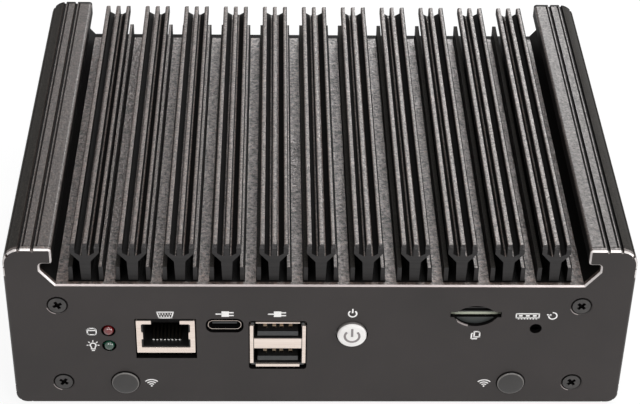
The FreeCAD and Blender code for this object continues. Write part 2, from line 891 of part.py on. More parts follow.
def bottom_cover():
    """Bottom cover with its screw holes and the threaded holes of a wall bracket."""
    body = new_body("bottom_cover")
    sheet = sketch_on(body, "XY_Plane", BOTTOM)
    depth = f"({SHELL_LENGTH} - 2*cover_clearance)"
    draw(sheet, rectangle("0", f"-{depth}/2", "case_width - 2*cover_inset - 2*cover_clearance", depth))
    pad(body, sheet, "cover_thickness")
    screws = sketch_on(body, "XY_Plane", BOTTOM)
    draw_circles(screws, cover_screw_places(), "thread_radius")
    countersunk_holes(body, screws, backwards=True)
    bracket = sketch_on(body, "XY_Plane", BOTTOM)
    draw_circles(bracket, [(f"{a}*bracket_spacing/2", f"{b}*bracket_spacing/2") for a, b in FOUR_CORNERS],
                 "bracket_hole_radius")
    pocket(body, bracket)


def feet():
    """Four turned rubber feet stuck under the bottom cover."""
    names = ("foot_front_left", "foot_front_right", "foot_rear_right", "foot_rear_left")
    for name, (a, b) in zip(names, FOUR_CORNERS):
        body = new_body(name)
        profile = sketch_on(body, "XZ_Plane")
        draw(profile, [
            ("0", "0"),
            ("foot_radius - foot_bevel", "0"),
            ("foot_radius", "foot_bevel"),
            ("foot_radius", "foot_height"),
            ("0", "foot_height"),
        ])
        turn(body, profile)
        put(body, f"{a}*(case_width/2 - foot_side_inset)", f"{b}*(case_depth/2 - foot_end_inset)")


# Screws

def cross_recess():
    """Cross-shaped driver recess, cut upwards from the origin."""
    bars = [("recess_length", "recess_width"), ("recess_width", "recess_length")]
    return join(*[block(long, wide, "recess_depth", "0", f"-({wide})/2", "0") for long, wide in bars])


def flat_screw(length, x, y, z, rotation=FreeCAD.Rotation()):
    """Countersunk screw whose head face is at the given place."""
    head = DOC.addObject("Part::Cone", "Head")
    bind(head, Radius1="flat_head_radius", Radius2="thread_radius")
    bind(head, Height="flat_head_radius - thread_radius")
    shank = post("thread_radius", length, "0", "0", "0")
    return put(cut(join(head, shank), cross_recess()), x, y, z, rotation)


def pan_screw(x, y, z):
    """Pan-headed board screw that goes up from under the board at z."""
    head = post("pan_head_radius", "pan_head_height", "0", "0", "0")
    shank = post("thread_radius", "pan_head_height + board_screw_length", "0", "0", "0")
    return put(cut(join(head, shank), cross_recess()), x, y, f"{z} - pan_head_height")


def case_screws():
    """Screws of the panels and of the bottom cover, one group for each."""
    places = panel_screw_places()
    front = [flat_screw("panel_screw_length", x, FRONT, z, ALONG_Y) for x, z in places]
    node(group(front), "front_panel_screws")
    rear = [flat_screw("panel_screw_length", x, "case_depth/2", z, ALONG_MINUS_Y) for x, z in places]
    node(group(rear), "rear_panel_screws")
    cover = [flat_screw("cover_screw_length", x, y, BOTTOM) for x, y in cover_screw_places()]
    node(group(cover), "bottom_cover_screws")


# Sockets

def lan_place(index):
    """Return the place of a network socket, as seen from behind."""
    return f"(first_lan_place + {index}*lan_pitch)"


def jack_room(x):
    """Room inside the shield of a network-type socket."""
    return block("jack_width - 2*jack_sheet", "jack_depth - 2*jack_sheet", "jack_height - jack_sheet",
                 x, f"{FRONT} - jack_proud + jack_sheet", f"{BOARD_UNDER} - jack_height + jack_sheet")


def jack_shield(x):
    """Folded metal shield of a network-type socket, open towards the board."""
    low = f"{BOARD_UNDER} - jack_height"
    front = f"{FRONT} - jack_proud"
    outer = block("jack_width", "jack_depth", "jack_height", x, front, low)
    floor = f"{low} + mouth_floor"
    mouth = block("mouth_width", "jack_sheet", "mouth_height", x, front, floor)
    latch = block("latch_width", "jack_sheet", "jack_height - mouth_floor", x, front, floor)
    tabs = [
        block("side_tab_reach", "jack_sheet", "side_tab_height",
              f"{x} {sign} (mouth_width - side_tab_reach)/2", front, f"{low} + side_tab_floor")
        for sign in ("-", "+")
    ]
    return join(cut(outer, jack_room(x), mouth, latch), *tabs)


def jack_insert(x):
    """Moulded insert of a network-type socket with the room for a plug and its latch."""
    front = f"{FRONT} - jack_proud + jack_sheet"
    floor = f"{BOARD_UNDER} - jack_height + mouth_floor + plug_room_lip"
    plug = block("plug_room_width", "plug_room_depth", "mouth_height - 2*plug_room_lip", x, front, floor)
    latch = block("latch_width", "latch_depth", f"{BOARD_UNDER} - latch_roof - ({floor})", x, front, floor)
    return cut(jack_room(x), plug, latch)


def jack_wires(x):
    """Return the sprung contact wires of a network-type socket, rising to the rear."""
    floor = f"{BOARD_UNDER} - jack_height + mouth_floor + plug_room_lip"
    wires = []
    for index in range(SIZES["wire_count"]):
        wire = block("wire_thickness", "wire_length", "wire_thickness", "0", "0", "0")
        rise = FreeCAD.Rotation(FreeCAD.Vector(1, 0, 0), SIZES["wire_slope"])
        across = f"{x} + ({index} - (wire_count - 1)/2)*wire_pitch - wire_thickness/2"
        wires.append(put(wire, across, f"{FRONT} - jack_proud + wire_start", floor, rise))
    return wires


def console_jack():
    """Network-type socket of the serial console in the front panel."""
    node(jack_shield("com_place"), "com_jack_shield")
    node(jack_insert("com_place"), "com_jack_insert")
    node(group(jack_wires("com_place")), "com_jack_contacts")


def lan_jacks():
    """Four network sockets in the rear panel."""
    wires = []
    for index in range(SIZES["lan_count"]):
        node(face_rear(jack_shield(lan_place(index))), f"lan_jack_{index + 1}_shield")
        node(face_rear(jack_insert(lan_place(index))), f"lan_jack_{index + 1}_insert")
        wires += jack_wires(lan_place(index))
    node(face_rear(group(wires)), "lan_jack_contacts")


def small_usb():
    """USB-C socket: drawn metal shell and the insulator with its tongue."""
    low = f"{BOARD_UNDER} - small_usb_height"
    shell = new_body("usb_c_shell")
    ring = sketch_on(shell, "XZ_Plane", "case_depth/2")
    draw(ring, rounded_rectangle("small_usb_place", low, "small_usb_width", "small_usb_height",
                                 "small_usb_round"))
    inner = ("small_usb_place", f"{low} + small_usb_sheet", "small_usb_width - 2*small_usb_sheet",
             "small_usb_height - 2*small_usb_sheet", "small_usb_round - small_usb_sheet")
    draw(ring, rounded_rectangle(*inner))
    pad(shell, ring, "small_usb_depth", backwards=True)

    insulator = new_body("usb_c_insulator")
    stop = sketch_on(insulator, "XZ_Plane", "case_depth/2 - small_usb_depth")
    draw(stop, rounded_rectangle(*inner))
    pad(insulator, stop, "small_usb_stop")
    tongue = sketch_on(insulator, "XZ_Plane", "case_depth/2 - small_usb_depth")
    draw(tongue, rectangle("small_usb_place", f"{low} + (small_usb_height - small_tongue_thickness)/2",
                           "small_tongue_width", "small_tongue_thickness"))
    pad(insulator, tongue, "small_usb_depth - small_tongue_back")


def usb_ports():
    """Return the floors of the lower and the upper port of the stacked sockets."""
    low = f"{BOARD_UNDER} - usb_drop - usb_height + usb_port_floor"
    return [low, f"{low} + usb_port_pitch"]


def stacked_usb():
    """Stacked USB-A sockets: folded shell, insulator with two tongues and the contacts."""
    low = f"{BOARD_UNDER} - usb_drop - usb_height"
    front = f"{FRONT} - usb_proud"
    back = f"{front} + usb_sheet"
    inside = ("usb_width - 2*usb_sheet", "usb_depth - 2*usb_sheet", "usb_height - 2*usb_sheet",
              "usb_place", back, f"{low} + usb_sheet")
    mouths, rooms, tongues, pins = [], [], [], []
    for floor in usb_ports():
        tongue_floor = f"{floor} + usb_tongue_floor"
        mouths.append(block("usb_port_width", "usb_sheet", "usb_port_height", "usb_place", front, floor))
        rooms.append(block("usb_port_width", "usb_port_depth", "usb_port_height", "usb_place", back, floor))
        tongues.append(block("usb_tongue_width", "usb_port_depth - usb_tongue_back", "usb_tongue_thickness",
                             "usb_place", f"{back} + usb_tongue_back", tongue_floor))
        for sign in ("-", "+"):
            for step in range(2):
                pins.append(block("usb_pin_width", "usb_pin_length", "usb_pin_height",
                                  f"usb_place {sign} (usb_pin_middle_pitch/2 + {step}*usb_pin_outer_pitch)",
                                  f"{back} + usb_tongue_back + usb_pin_back",
                                  f"{tongue_floor} + usb_tongue_thickness"))
    legs = [
        block("usb_leg_width", "usb_leg_width", "usb_drop", f"usb_place {sign} (usb_width - usb_leg_width)/2",
              f"{front} + {place}", f"{BOARD_UNDER} - usb_drop")
        for sign in ("-", "+") for place in ("usb_leg_inset", "usb_depth - usb_leg_inset")
    ]
    outer = block("usb_width", "usb_depth", "usb_height", "usb_place", front, low)
    node(join(cut(outer, block(*inside), *mouths), *legs), "usb_a_shell")
    node(join(cut(block(*inside), *rooms), *tongues), "usb_a_insulator")
    node(group(pins), "usb_a_contacts")


def video_outline(inset):
    """Return the outline of the video socket, stepped in on the side away from the board."""
    low, high = f"{BOARD_UNDER} - video_height + {inset}", f"{BOARD_UNDER} - {inset}"
    half = f"(video_width/2 - {inset})"
    foot = f"({half} - video_slant)"
    return [
        (f"video_place - {foot}", low),
        (f"video_place + {foot}", low),
        (f"video_place + {half}", f"{low} + video_step"),
        (f"video_place + {half}", high),
        (f"video_place - {half}", high),
        (f"video_place - {half}", f"{low} + video_step"),
    ]


def video_socket():
    """Video socket in the rear panel: metal shell and insulator with its tongue."""
    shell = new_body("video_socket_shell")
    ring = sketch_on(shell, "XZ_Plane", "case_depth/2 + video_proud")
    draw(ring, video_outline("0"))
    draw(ring, video_outline("video_sheet"))
    pad(shell, ring, "video_depth", backwards=True)
    face_rear(shell)

    insulator = new_body("video_socket_insulator")
    stop = sketch_on(insulator, "XZ_Plane", "case_depth/2 + video_proud - video_depth")
    draw(stop, video_outline("video_sheet"))
    pad(insulator, stop, "video_stop")
    tongue = sketch_on(insulator, "XZ_Plane", "case_depth/2 + video_proud - video_depth")
    draw(tongue, rectangle("video_place", f"{BOARD_UNDER} - (video_height + video_tongue_thickness)/2",
                           "video_tongue_width", "video_tongue_thickness"))
    pad(insulator, tongue, "video_depth - video_tongue_back")
    face_rear(insulator)


def power_inlet():
    """Power inlet in the rear panel: moulded body with a round collar, and its centre pin."""
    face = f"{FRONT} - button_proud"
    housing = block("inlet_width", "inlet_depth", "inlet_height", "inlet_place", PANEL_BACK,
                    f"{BOARD_UNDER} - inlet_height")
    collar = rod("inlet_collar_radius", "panel_thickness + button_proud", "inlet_place", face, INLET_HEIGHT)
    bore = rod("inlet_bore_radius", "inlet_bore_depth", "inlet_place", face, INLET_HEIGHT)
    node(face_rear(cut(join(housing, collar), bore)), "power_inlet_body")
    tip = f"{face} + inlet_pin_back + inlet_pin_radius"
    pin = rod("inlet_pin_radius", "inlet_bore_depth - inlet_pin_back - inlet_pin_radius",
              "inlet_place", tip, INLET_HEIGHT)
    dome = DOC.addObject("Part::Sphere", "Dome")
    bind(dome, Radius="inlet_pin_radius")
    put(dome, "inlet_place", tip, INLET_HEIGHT)
    node(face_rear(join(pin, dome)), "power_inlet_pin")


# Buttons, lamps, plugs and the card reader

def turned_about_y(label, profile, x, z):
    """Body turned about an axis that runs from front to rear through (x, z)."""
    body = new_body(label)
    sketch = sketch_on(body, "XY_Plane")
    draw(sketch, profile)
    turn(body, sketch)
    put(body, x, "0", z)


def power_button():
    """Power button with its flange and stem, and the body of its switch."""
    face = f"{FRONT} - button_proud"
    flange_back = f"{PANEL_BACK} + flange_thickness"
    turned_about_y("power_button", [
        ("0", face),
        ("button_radius - button_bevel", face),
        ("button_radius", f"{face} + button_bevel"),
        ("button_radius", PANEL_BACK),
        ("flange_radius", PANEL_BACK),
        ("flange_radius", flange_back),
        ("stem_radius", flange_back),
        ("stem_radius", f"{SWITCH_FACE} + stem_reach"),
        ("0", f"{SWITCH_FACE} + stem_reach"),
    ], "button_place", BUTTON_HEIGHT)
    housing = block("switch_width", "switch_depth", "switch_width/2 + button_drop",
                    "button_place", SWITCH_FACE, f"{BUTTON_HEIGHT} - switch_width/2")
    bore = rod("stem_radius + moving_gap", "stem_reach + button_travel + press_margin",
               "button_place", SWITCH_FACE, BUTTON_HEIGHT)
    node(cut(housing, bore), "power_switch")


def clear_memory_switch():
    """Small switch behind the pinhole and the plunger that a pin pushes."""
    plunger = rod("reset_radius", "2*reset_reach", "reset_place", f"{RESET_FACE} - reset_reach", RESET_HEIGHT)
    node(plunger, "reset_plunger")
    housing = block("switch_width", "switch_depth", "switch_width/2 + reset_drop",
                    "reset_place", RESET_FACE, f"{RESET_HEIGHT} - switch_width/2")
    bore = rod("reset_radius + moving_gap", "reset_reach + reset_travel + press_margin",
               "reset_place", RESET_FACE, RESET_HEIGHT)
    node(cut(housing, bore), "reset_switch")


def lamps():
    """Two domed lamps and the block that holds them."""
    tip = f"{FRONT} - lamp_proud"
    collar = f"{LAMP_BASE} - lamp_flange_thickness"
    profile = [
        ("0", tip, "lamp_radius", 1),
        ("lamp_radius", f"{tip} + lamp_radius"),
        ("lamp_radius", collar),
        ("lamp_flange_radius", collar),
        ("lamp_flange_radius", LAMP_BASE),
        ("0", LAMP_BASE),
    ]
    for name, drop in (("lamp_red", "upper_lamp_drop"), ("lamp_green", "lower_lamp_drop")):
        turned_about_y(name, profile, "lamp_place", f"{BOARD_UNDER} - {drop}")
    height = "lower_lamp_drop + lamp_block_width/2"
    node(block("lamp_block_width", "lamp_block_depth", height, "lamp_place", LAMP_BASE,
               f"{BOARD_UNDER} - ({height})"), "lamp_block")


def antenna_plugs():
    """Domed plugs that close the two antenna holes."""
    profile = [
        ("0", f"{FRONT} - antenna_plug_dome",
         "(antenna_plug_radius^2 + antenna_plug_dome^2)/(2*antenna_plug_dome)", 1),
        ("antenna_plug_radius", FRONT),
        ("antenna_hole_radius - antenna_stem_gap", FRONT),
        ("antenna_hole_radius - antenna_stem_gap", PANEL_BACK),
        ("antenna_hole_radius + antenna_barb", PANEL_BACK),
        ("antenna_hole_radius + antenna_barb", f"{PANEL_BACK} + antenna_barb_length"),
        ("0", f"{PANEL_BACK} + antenna_barb_length"),
    ]
    turned_about_y("antenna_plug_left", profile, "-antenna_place", SCREW_LOW)
    turned_about_y("antenna_plug_right", profile, "antenna_place", SCREW_LOW)


def card_reader():
    """Card reader on the upper side of the board: sheet-metal shell over a moulded base."""
    width = "reader_width - 2*reader_sheet"
    depth, height = "reader_depth - reader_sheet", "reader_height - reader_sheet"
    outer = block("reader_width", "reader_depth", "reader_height", "slot_place", BOARD_FRONT, BOARD_TOP)
    room = block(width, depth, height, "slot_place", BOARD_FRONT, BOARD_TOP)
    node(cut(outer, room), "card_reader_shell")
    base = block(width, depth, "reader_floor", "slot_place", BOARD_FRONT, BOARD_TOP)
    stop = block(width, "reader_stop", height,
                 "slot_place", f"{BOARD_FRONT} + {depth} - reader_stop", BOARD_TOP)
    node(join(base, stop), "card_reader_base")


# Main board and what it carries

def board_screw_places():
    """Return where the four board screws sit."""
    side = "(case_width/2 - board_screw_side)"
    return [(f"{a}*{side}", f"{b}*{BOARD_SCREW_END}") for a, b in FOUR_CORNERS]


def main_board():
    """Main board with its screw holes, its stand-offs under the shell and its screws."""
    body = new_body("main_board")
    outline = sketch_on(body, "XY_Plane", BOARD_UNDER)
    depth = f"({SHELL_LENGTH} - 2*board_edge_gap)"
    draw(outline, rectangle("0", f"-{depth}/2", "case_width - 2*wall_thickness - 2*board_side_gap", depth))
    pad(body, outline, "board_thickness")
    holes = sketch_on(body, "XY_Plane", BOARD_UNDER)
    draw_circles(holes, board_screw_places(), "thread_radius + thread_clearance")
    pocket(body, holes)
    notch = sketch_on(body, "XY_Plane", BOARD_UNDER)
    draw(notch, rectangle("button_place", BOARD_FRONT, "2*(flange_radius + board_notch_gap)",
                          f"{SWITCH_FACE} - {BOARD_FRONT}"))
    pocket(body, notch)

    standoffs = [
        cut(post("standoff_radius", "standoff_height", x, y, BOARD_TOP),
            post("thread_radius + thread_clearance", "standoff_height", x, y, BOARD_TOP))
        for x, y in board_screw_places()
    ]
    node(group(standoffs), "board_standoffs")
    node(group([pan_screw(x, y, BOARD_UNDER) for x, y in board_screw_places()]), "board_screws")


def processor():
    """Processor package on the board and the copper spreader between it and the shell."""
    chip_top = f"{BOARD_TOP} + chip_thickness"
    package = block("chip_width", "chip_depth", "chip_thickness", "0", "-chip_depth/2", BOARD_TOP)
    die = block("die_width", "die_depth", "die_thickness", "0", "-die_depth/2", chip_top)
    node(join(package, die), "processor")
    gap = "standoff_height - chip_thickness - die_thickness"
    spreader = block("spreader_width", "spreader_depth", gap,
                     "0", "-spreader_depth/2", f"{chip_top} + die_thickness")
    node(spreader, "heat_spreader")


def memory():
    """Memory socket under the board, beside the coin cell, with the module pushed into it."""
    low = f"{BOARD_UNDER} - memory_drop - memory_thickness"
    socket_low = f"{BOARD_UNDER} - socket_height"
    socket_front = "memory_front + memory_depth - memory_insertion"
    stick = block("memory_width", "memory_depth", "memory_thickness", MEMORY_PLACE, "memory_front", low)
    chips = [
        block("memory_chip_width", "memory_chip_depth", "memory_chip_thickness",
              f"{MEMORY_PLACE} + ({index} - (memory_chip_count - 1)/2)*memory_chip_pitch",
              "memory_front + memory_insertion", f"{low} - memory_chip_thickness")
        for index in range(SIZES["memory_chip_count"])
    ]
    node(join(stick, *chips), "memory_module")
    housing = block(f"2*{SOCKET_HALF}", "socket_depth", "socket_height",
                    MEMORY_PLACE, socket_front, socket_low)
    arms = [
        block("latch_arm_width", "memory_depth - memory_insertion", "socket_height",
              f"{MEMORY_PLACE} {sign} ({SOCKET_HALF} - latch_arm_width/2)", "memory_front", socket_low)
        for sign in ("-", "+")
    ]
    slot = block("memory_width", "memory_insertion + socket_slack", "memory_thickness", MEMORY_PLACE,
                 socket_front, low)
    node(cut(join(housing, *arms), slot), "memory_socket")


def drive():
    """Solid-state drive in its socket under the board, held by a stand-off and a screw."""
    low = f"{BOARD_UNDER} - drive_drop - drive_thickness"
    socket_front = f"{DRIVE_BACK} - drive_socket_depth"
    card = block("drive_width", "drive_length", "drive_thickness", DRIVE_PLACE, DRIVE_FRONT, low)
    chips = [
        block("drive_chip_width", "drive_chip_depth", "drive_chip_thickness",
              DRIVE_PLACE, f"{DRIVE_FRONT} + drive_chip_margin + {index}*drive_chip_pitch",
              f"{low} - drive_chip_thickness")
        for index in range(SIZES["drive_chip_count"])
    ]
    notch = post("drive_notch_radius", "drive_thickness", DRIVE_PLACE, DRIVE_FRONT, low)
    node(cut(join(card, *chips), notch), "drive_module")
    housing = block("drive_width", "drive_socket_depth", "drive_socket_height", DRIVE_PLACE, socket_front,
                    f"{BOARD_UNDER} - drive_socket_height")
    slot = block("drive_width", "drive_insertion + socket_slack", "drive_thickness", DRIVE_PLACE,
                 socket_front, low)
    node(cut(housing, slot), "drive_socket")
    foot = f"{BOARD_UNDER} - drive_drop"
    pillar = post("drive_post_radius", "drive_drop", DRIVE_PLACE, DRIVE_FRONT, foot)
    tap = post("drive_screw_radius + thread_clearance", "drive_drop", DRIVE_PLACE, DRIVE_FRONT, foot)
    node(cut(pillar, tap), "drive_standoff")
    head = post("drive_screw_head", "drive_screw_head_height", DRIVE_PLACE, DRIVE_FRONT,
                f"{low} - drive_screw_head_height")
    shank = post("drive_screw_radius", "drive_thickness + drive_drop/2", DRIVE_PLACE, DRIVE_FRONT, low)
    node(join(head, shank), "drive_screw")


def coin_cell():
    """Coin cell in its holder under the board, in front of the network chips."""
    y = f"{NETWORK_CHIP_FRONT} - cell_gap - {HOLDER_RADIUS}"
    at = ("cell_place", y, f"{BOARD_UNDER} - holder_floor - cell_thickness")
    holder = post(HOLDER_RADIUS, "holder_floor + cell_thickness", *at)
    room = post("cell_radius + holder_slack", "cell_thickness", *at)
    node(cut(holder, room), "coin_cell_holder")
    node(post("cell_radius", "cell_thickness", *at), "coin_cell")


def small_board_parts():
    """Network chips behind the sockets, and the coils and capacitors of the supply."""
    chips = [
        block("network_chip_width", "network_chip_width", "network_chip_thickness",
              f"-{lan_place(index)}", NETWORK_CHIP_FRONT, f"{BOARD_UNDER} - network_chip_thickness")
        for index in range(SIZES["lan_count"])
    ]
    node(group(chips), "network_chips")
    coils = [
        block("coil_width", "coil_width", "coil_height",
              f"coil_place + {index}*coil_pitch", f"{CAN_FRONT} + 2*can_radius + coil_gap",
              f"{BOARD_UNDER} - coil_height")
        for index in range(SIZES["coil_count"])
    ]
    node(group(coils), "power_inductors")
    cans = [
        post("can_radius", "can_height",
             f"can_place + {index}*can_pitch", f"{CAN_FRONT} + can_radius", f"{BOARD_UNDER} - can_height")
        for index in range(SIZES["can_count"])
    ]
    node(group(cans), "power_capacitors")


# Hand-over

def write_parts():
    """Check every object of the document and write one file for each sub-part."""
    DOC.recompute()
    for item in DOC.Objects:
        if "Invalid" in item.State or "Error" in item.State:
            raise RuntimeError(f"{item.Label} could not be built: {item.State}")
    os.makedirs("parts", exist_ok=True)
    for item in NODES:
        shape = item.Shape
        if shape.isNull() or not shape.isValid():
            raise RuntimeError(f"{item.Label} has no valid shape")
        shape.exportStep(f"parts/{item.Label}.step")


fill_sheet()
heatsink_shell()
front_panel()
rear_panel()
bottom_cover()
feet()
case_screws()
console_jack()
lan_jacks()
small_usb()
stacked_usb()
video_socket()
power_inlet()
power_button()
clear_memory_switch()
lamps()
antenna_plugs()
card_reader()
main_board()
processor()
memory()
drive()
coin_cell()
small_board_parts()
write_parts()
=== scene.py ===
"""Looks of a fanless firewall mini pc: its finishes, refined pieces, printed signs and a plain studio."""

import json
import logging
import math
from contextlib import contextmanager
from dataclasses import dataclass
from enum import Enum
from typing import Callable, Iterator

import bmesh
import bpy
from mathutils import Matrix, Vector

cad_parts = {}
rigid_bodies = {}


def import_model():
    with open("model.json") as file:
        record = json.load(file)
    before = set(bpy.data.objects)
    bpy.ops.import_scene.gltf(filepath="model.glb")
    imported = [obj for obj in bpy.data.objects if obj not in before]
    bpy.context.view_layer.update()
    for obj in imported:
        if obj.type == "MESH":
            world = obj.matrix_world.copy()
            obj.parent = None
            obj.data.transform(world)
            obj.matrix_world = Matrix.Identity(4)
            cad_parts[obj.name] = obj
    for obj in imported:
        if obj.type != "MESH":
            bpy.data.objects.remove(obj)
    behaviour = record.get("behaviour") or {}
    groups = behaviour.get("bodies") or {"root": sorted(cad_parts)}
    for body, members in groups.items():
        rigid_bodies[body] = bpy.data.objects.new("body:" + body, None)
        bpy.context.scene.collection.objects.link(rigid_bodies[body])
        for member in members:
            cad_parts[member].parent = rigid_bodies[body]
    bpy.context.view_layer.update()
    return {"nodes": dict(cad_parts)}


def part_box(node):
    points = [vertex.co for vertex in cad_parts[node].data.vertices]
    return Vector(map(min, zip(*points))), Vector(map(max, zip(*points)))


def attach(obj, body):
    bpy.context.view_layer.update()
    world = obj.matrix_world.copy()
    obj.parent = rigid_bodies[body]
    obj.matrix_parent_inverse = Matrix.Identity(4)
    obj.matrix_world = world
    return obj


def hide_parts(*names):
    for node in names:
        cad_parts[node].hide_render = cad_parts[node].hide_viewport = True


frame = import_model()

LOG = logging.getLogger("firewall_mini_pc")
MM = 0.001
IMAGE_WIDTH = 640
CASE = "case"
X, Y, Z = range(3)

# Least part of a normal along y with which a face counts as looking to the front or the rear
SQUARE_ON = 0.9

Pair = tuple[float, float]
Plane = tuple[Vector, Vector]
Socket = bpy.types.NodeSocket
Rule = Callable[[Vector, Vector], bool]
Spot = Callable[[Vector], bool]


def tint(code: str) -> tuple[float, float, float]:
    """Turn a display colour into the linear values that shaders take.

    Args:
        code: Six hexadecimal digits, red first.

    Returns:
        Linear red, green and blue.
    """
    parts = [int(code[i:i + 2], 16) / 255 for i in (0, 2, 4)]
    return tuple(c / 12.92 if c <= 0.04045 else ((c + 0.055) / 1.055) ** 2.4 for c in parts)


# Shader nodes

class Net:
    """Adds and links the nodes of one shader tree."""

    def __init__(self, tree: bpy.types.NodeTree) -> None:
        """Keep the tree that the nodes go into."""
        self.tree = tree

    @classmethod
    def fresh(cls, owner: bpy.types.Material | bpy.types.World) -> "Net":
        """Empty the shader tree of a material or a world.

        Args:
            owner: The material or world.

        Returns:
            The net of its tree.
        """
        owner.use_nodes = True
        owner.node_tree.nodes.clear()
        return cls(owner.node_tree)

    def add(self, kind: str, sockets: dict | None = None, **settings: object) -> bpy.types.Node:
        """Add a node, set it up and feed its inputs.

        Args:
            kind: Blender's name for the kind of node.
            sockets: Input name or number to a value or to another node's output.
            settings: Properties of the node itself.

        Returns:
            The new node.
        """
        node = self.tree.nodes.new(kind)
        for name, value in settings.items():
            setattr(node, name, value)
        for name, value in (sockets or {}).items():
            if isinstance(value, Socket):
                self.tree.links.new(value, node.inputs[name])
            else:
                node.inputs[name].default_value = value
        return node

    def math(self, operation: str, *values: object) -> Socket:
        """Add a sum of one or two values and return its result."""
        return self.add("ShaderNodeMath", dict(enumerate(values)), operation=operation).outputs[0]

    def spread(self, value: Socket, source: Pair, target: Pair) -> Socket:
        """Map a value from one range to another and return it, kept inside the second range."""
        sockets = {"Value": value, "From Min": source[0], "From Max": source[1],
                   "To Min": target[0], "To Max": target[1]}
        return self.add("ShaderNodeMapRange", sockets).outputs["Result"]

    def mix(self, factor: Socket, first: str, second: str) -> Socket:
        """Mix two display colours and return the result."""
        dark, light = ((*tint(code), 1.0) for code in (first, second))
        return self.add("ShaderNodeMix", {0: factor, 6: dark, 7: light}, data_type="RGBA").outputs[2]


class Effect(Enum):
    """Surface effects that several finishes share, each built once as a node group."""

    GRAIN = "blasted_grain"
    HAZE = "soft_haze"
    LINES = "drawn_lines"
    TRACES = "board_traces"

    def group(self) -> bpy.types.NodeTree:
        """Return the effect's node group, made on first use."""
        made = bpy.data.node_groups.get(self.value)
        return made or EffectBench(self).build()


class EffectBench:
    """Builds the node group of one effect: a place and a size in, a mask and a height out."""

    def __init__(self, effect: Effect) -> None:
        """Start the group with its named inputs and outputs.

        Args:
            effect: The effect.
        """
        self.effect = effect
        self.tree = bpy.data.node_groups.new(effect.value, "ShaderNodeTree")
        for name, way, kind in (("Place", "INPUT", "Vector"), ("Size", "INPUT", "Float"),
                                ("Mask", "OUTPUT", "Float"), ("Height", "OUTPUT", "Float")):
            self.tree.interface.new_socket(name, in_out=way, socket_type=f"NodeSocket{kind}")
        self.net = Net(self.tree)
        inputs = self.net.add("NodeGroupInput").outputs
        self.place = inputs["Place"]
        self.scale = self.net.math("DIVIDE", 1.0, inputs["Size"])

    def build(self) -> bpy.types.NodeTree:
        """Fill the group in.

        Returns:
            The group.
        """
        fill = {Effect.GRAIN: self.grain, Effect.HAZE: self.haze,
                Effect.LINES: self.lines, Effect.TRACES: self.traces}[self.effect]
        mask, height = fill()
        self.net.add("NodeGroupOutput", {"Mask": mask, "Height": height})
        return self.tree

    def noise(self, place: Socket, detail: float) -> Socket:
        """Return smooth noise about one half."""
        sockets = {"Vector": place, "Scale": self.scale, "Detail": detail, "Roughness": 0.6}
        return self.net.add("ShaderNodeTexNoise", sockets).outputs["Fac"]

    def grain(self) -> tuple[Socket, Socket]:
        """Make fine blasted grain with a few smoother facets, painted lighter as glints.

        Returns:
            Mask and height.
        """
        fine = self.noise(self.place, 2.0)
        facets = self.net.add("ShaderNodeTexVoronoi", {"Vector": self.place, "Scale": self.scale})
        # The facets' lighter base colour is a painted highlight; their lower roughness is real
        glint = self.net.spread(facets.outputs["Color"], (0.78, 1.0), (0.0, 0.75))
        base = self.net.spread(fine, (0.32, 0.72), (0.0, 0.8))
        return self.net.math("ADD", base, glint), self.net.math("ADD", fine, glint)

    def haze(self) -> tuple[Socket, Socket]:
        """Return mask and height of soft clouds, as of handling and uneven coating."""
        cloud = self.noise(self.place, 3.0)
        return self.net.spread(cloud, (0.3, 0.7), (0.0, 1.0)), cloud

    def lines(self) -> tuple[Socket, Socket]:
        """Make fine lines along X, as of drawing or milling.

        Returns:
            Mask and height.
        """
        sockets = {0: self.place, 1: (0.03, 1.0, 1.0)}
        stretch = self.net.add("ShaderNodeVectorMath", sockets, operation="MULTIPLY")
        drawn = self.noise(stretch.outputs[0], 2.0)
        return self.net.spread(drawn, (0.3, 0.7), (0.0, 1.0)), drawn

    def traces(self) -> tuple[Socket, Socket]:
        """Make conductor runs under the coating of a board.

        Returns:
            Mask and height.
        """
        sockets = {"Vector": self.place, "Scale": self.scale, "Mortar Size": 0.02,
                   "Color1": (1, 1, 1, 1), "Color2": (0.7, 0.7, 0.7, 1), "Mortar": (0, 0, 0, 1)}
        runs = self.net.add("ShaderNodeTexBrick", sockets)
        return runs.outputs["Fac"], runs.outputs["Fac"]


# Finishes

@dataclass(frozen=True)
class Finish:
    """One surface finish, from its two display colours to its gloss and relief."""

    name: str
    slot: str | None
    dark: str
    light: str
    roughness: Pair
    effect: Effect = Effect.HAZE
    size: float = 8 * MM
    relief: float = 0.0
    metallic: float = 0.0
    specular: float = 0.5
    coat: float = 0.0
    coat_roughness: float = 0.05
    gloss_size: float = 14 * MM

    def material(self) -> bpy.types.Material:
        """Make the finish a material on its first use.

        Returns:
            The material.
        """
        made = bpy.data.materials.get(self.name)
        if made:
            return made
        made = bpy.data.materials.new(self.name)
        made.diffuse_color = (*tint(self.light), 1.0)
        net = Net.fresh(made)
        place = net.add("ShaderNodeTexCoord").outputs["Object"]
        pattern = net.add("ShaderNodeGroup", node_tree=self.effect.group(),
                          sockets={"Place": place, "Size": self.size})
        gloss = pattern if self.effect is Effect.GRAIN else net.add(
            "ShaderNodeGroup", {"Place": place, "Size": self.gloss_size}, node_tree=Effect.HAZE.group())
        sockets = {
            "Base Color": net.mix(pattern.outputs["Mask"], self.dark, self.light),
            "Roughness": net.spread(gloss.outputs["Mask"], (0.0, 1.0), self.roughness),
            "Metallic": self.metallic,
            "Specular IOR Level": self.specular,
            "Coat Weight": self.coat,
            "Coat Roughness": self.coat_roughness,
        }
        if self.relief:
            bump = {"Height": pattern.outputs["Height"], "Distance": self.relief}
            sockets["Normal"] = net.add("ShaderNodeBump", bump).outputs["Normal"]
        shader = net.add("ShaderNodeBsdfPrincipled", sockets)
        net.add("ShaderNodeOutputMaterial", {"Surface": shader.outputs["BSDF"]})
        return made


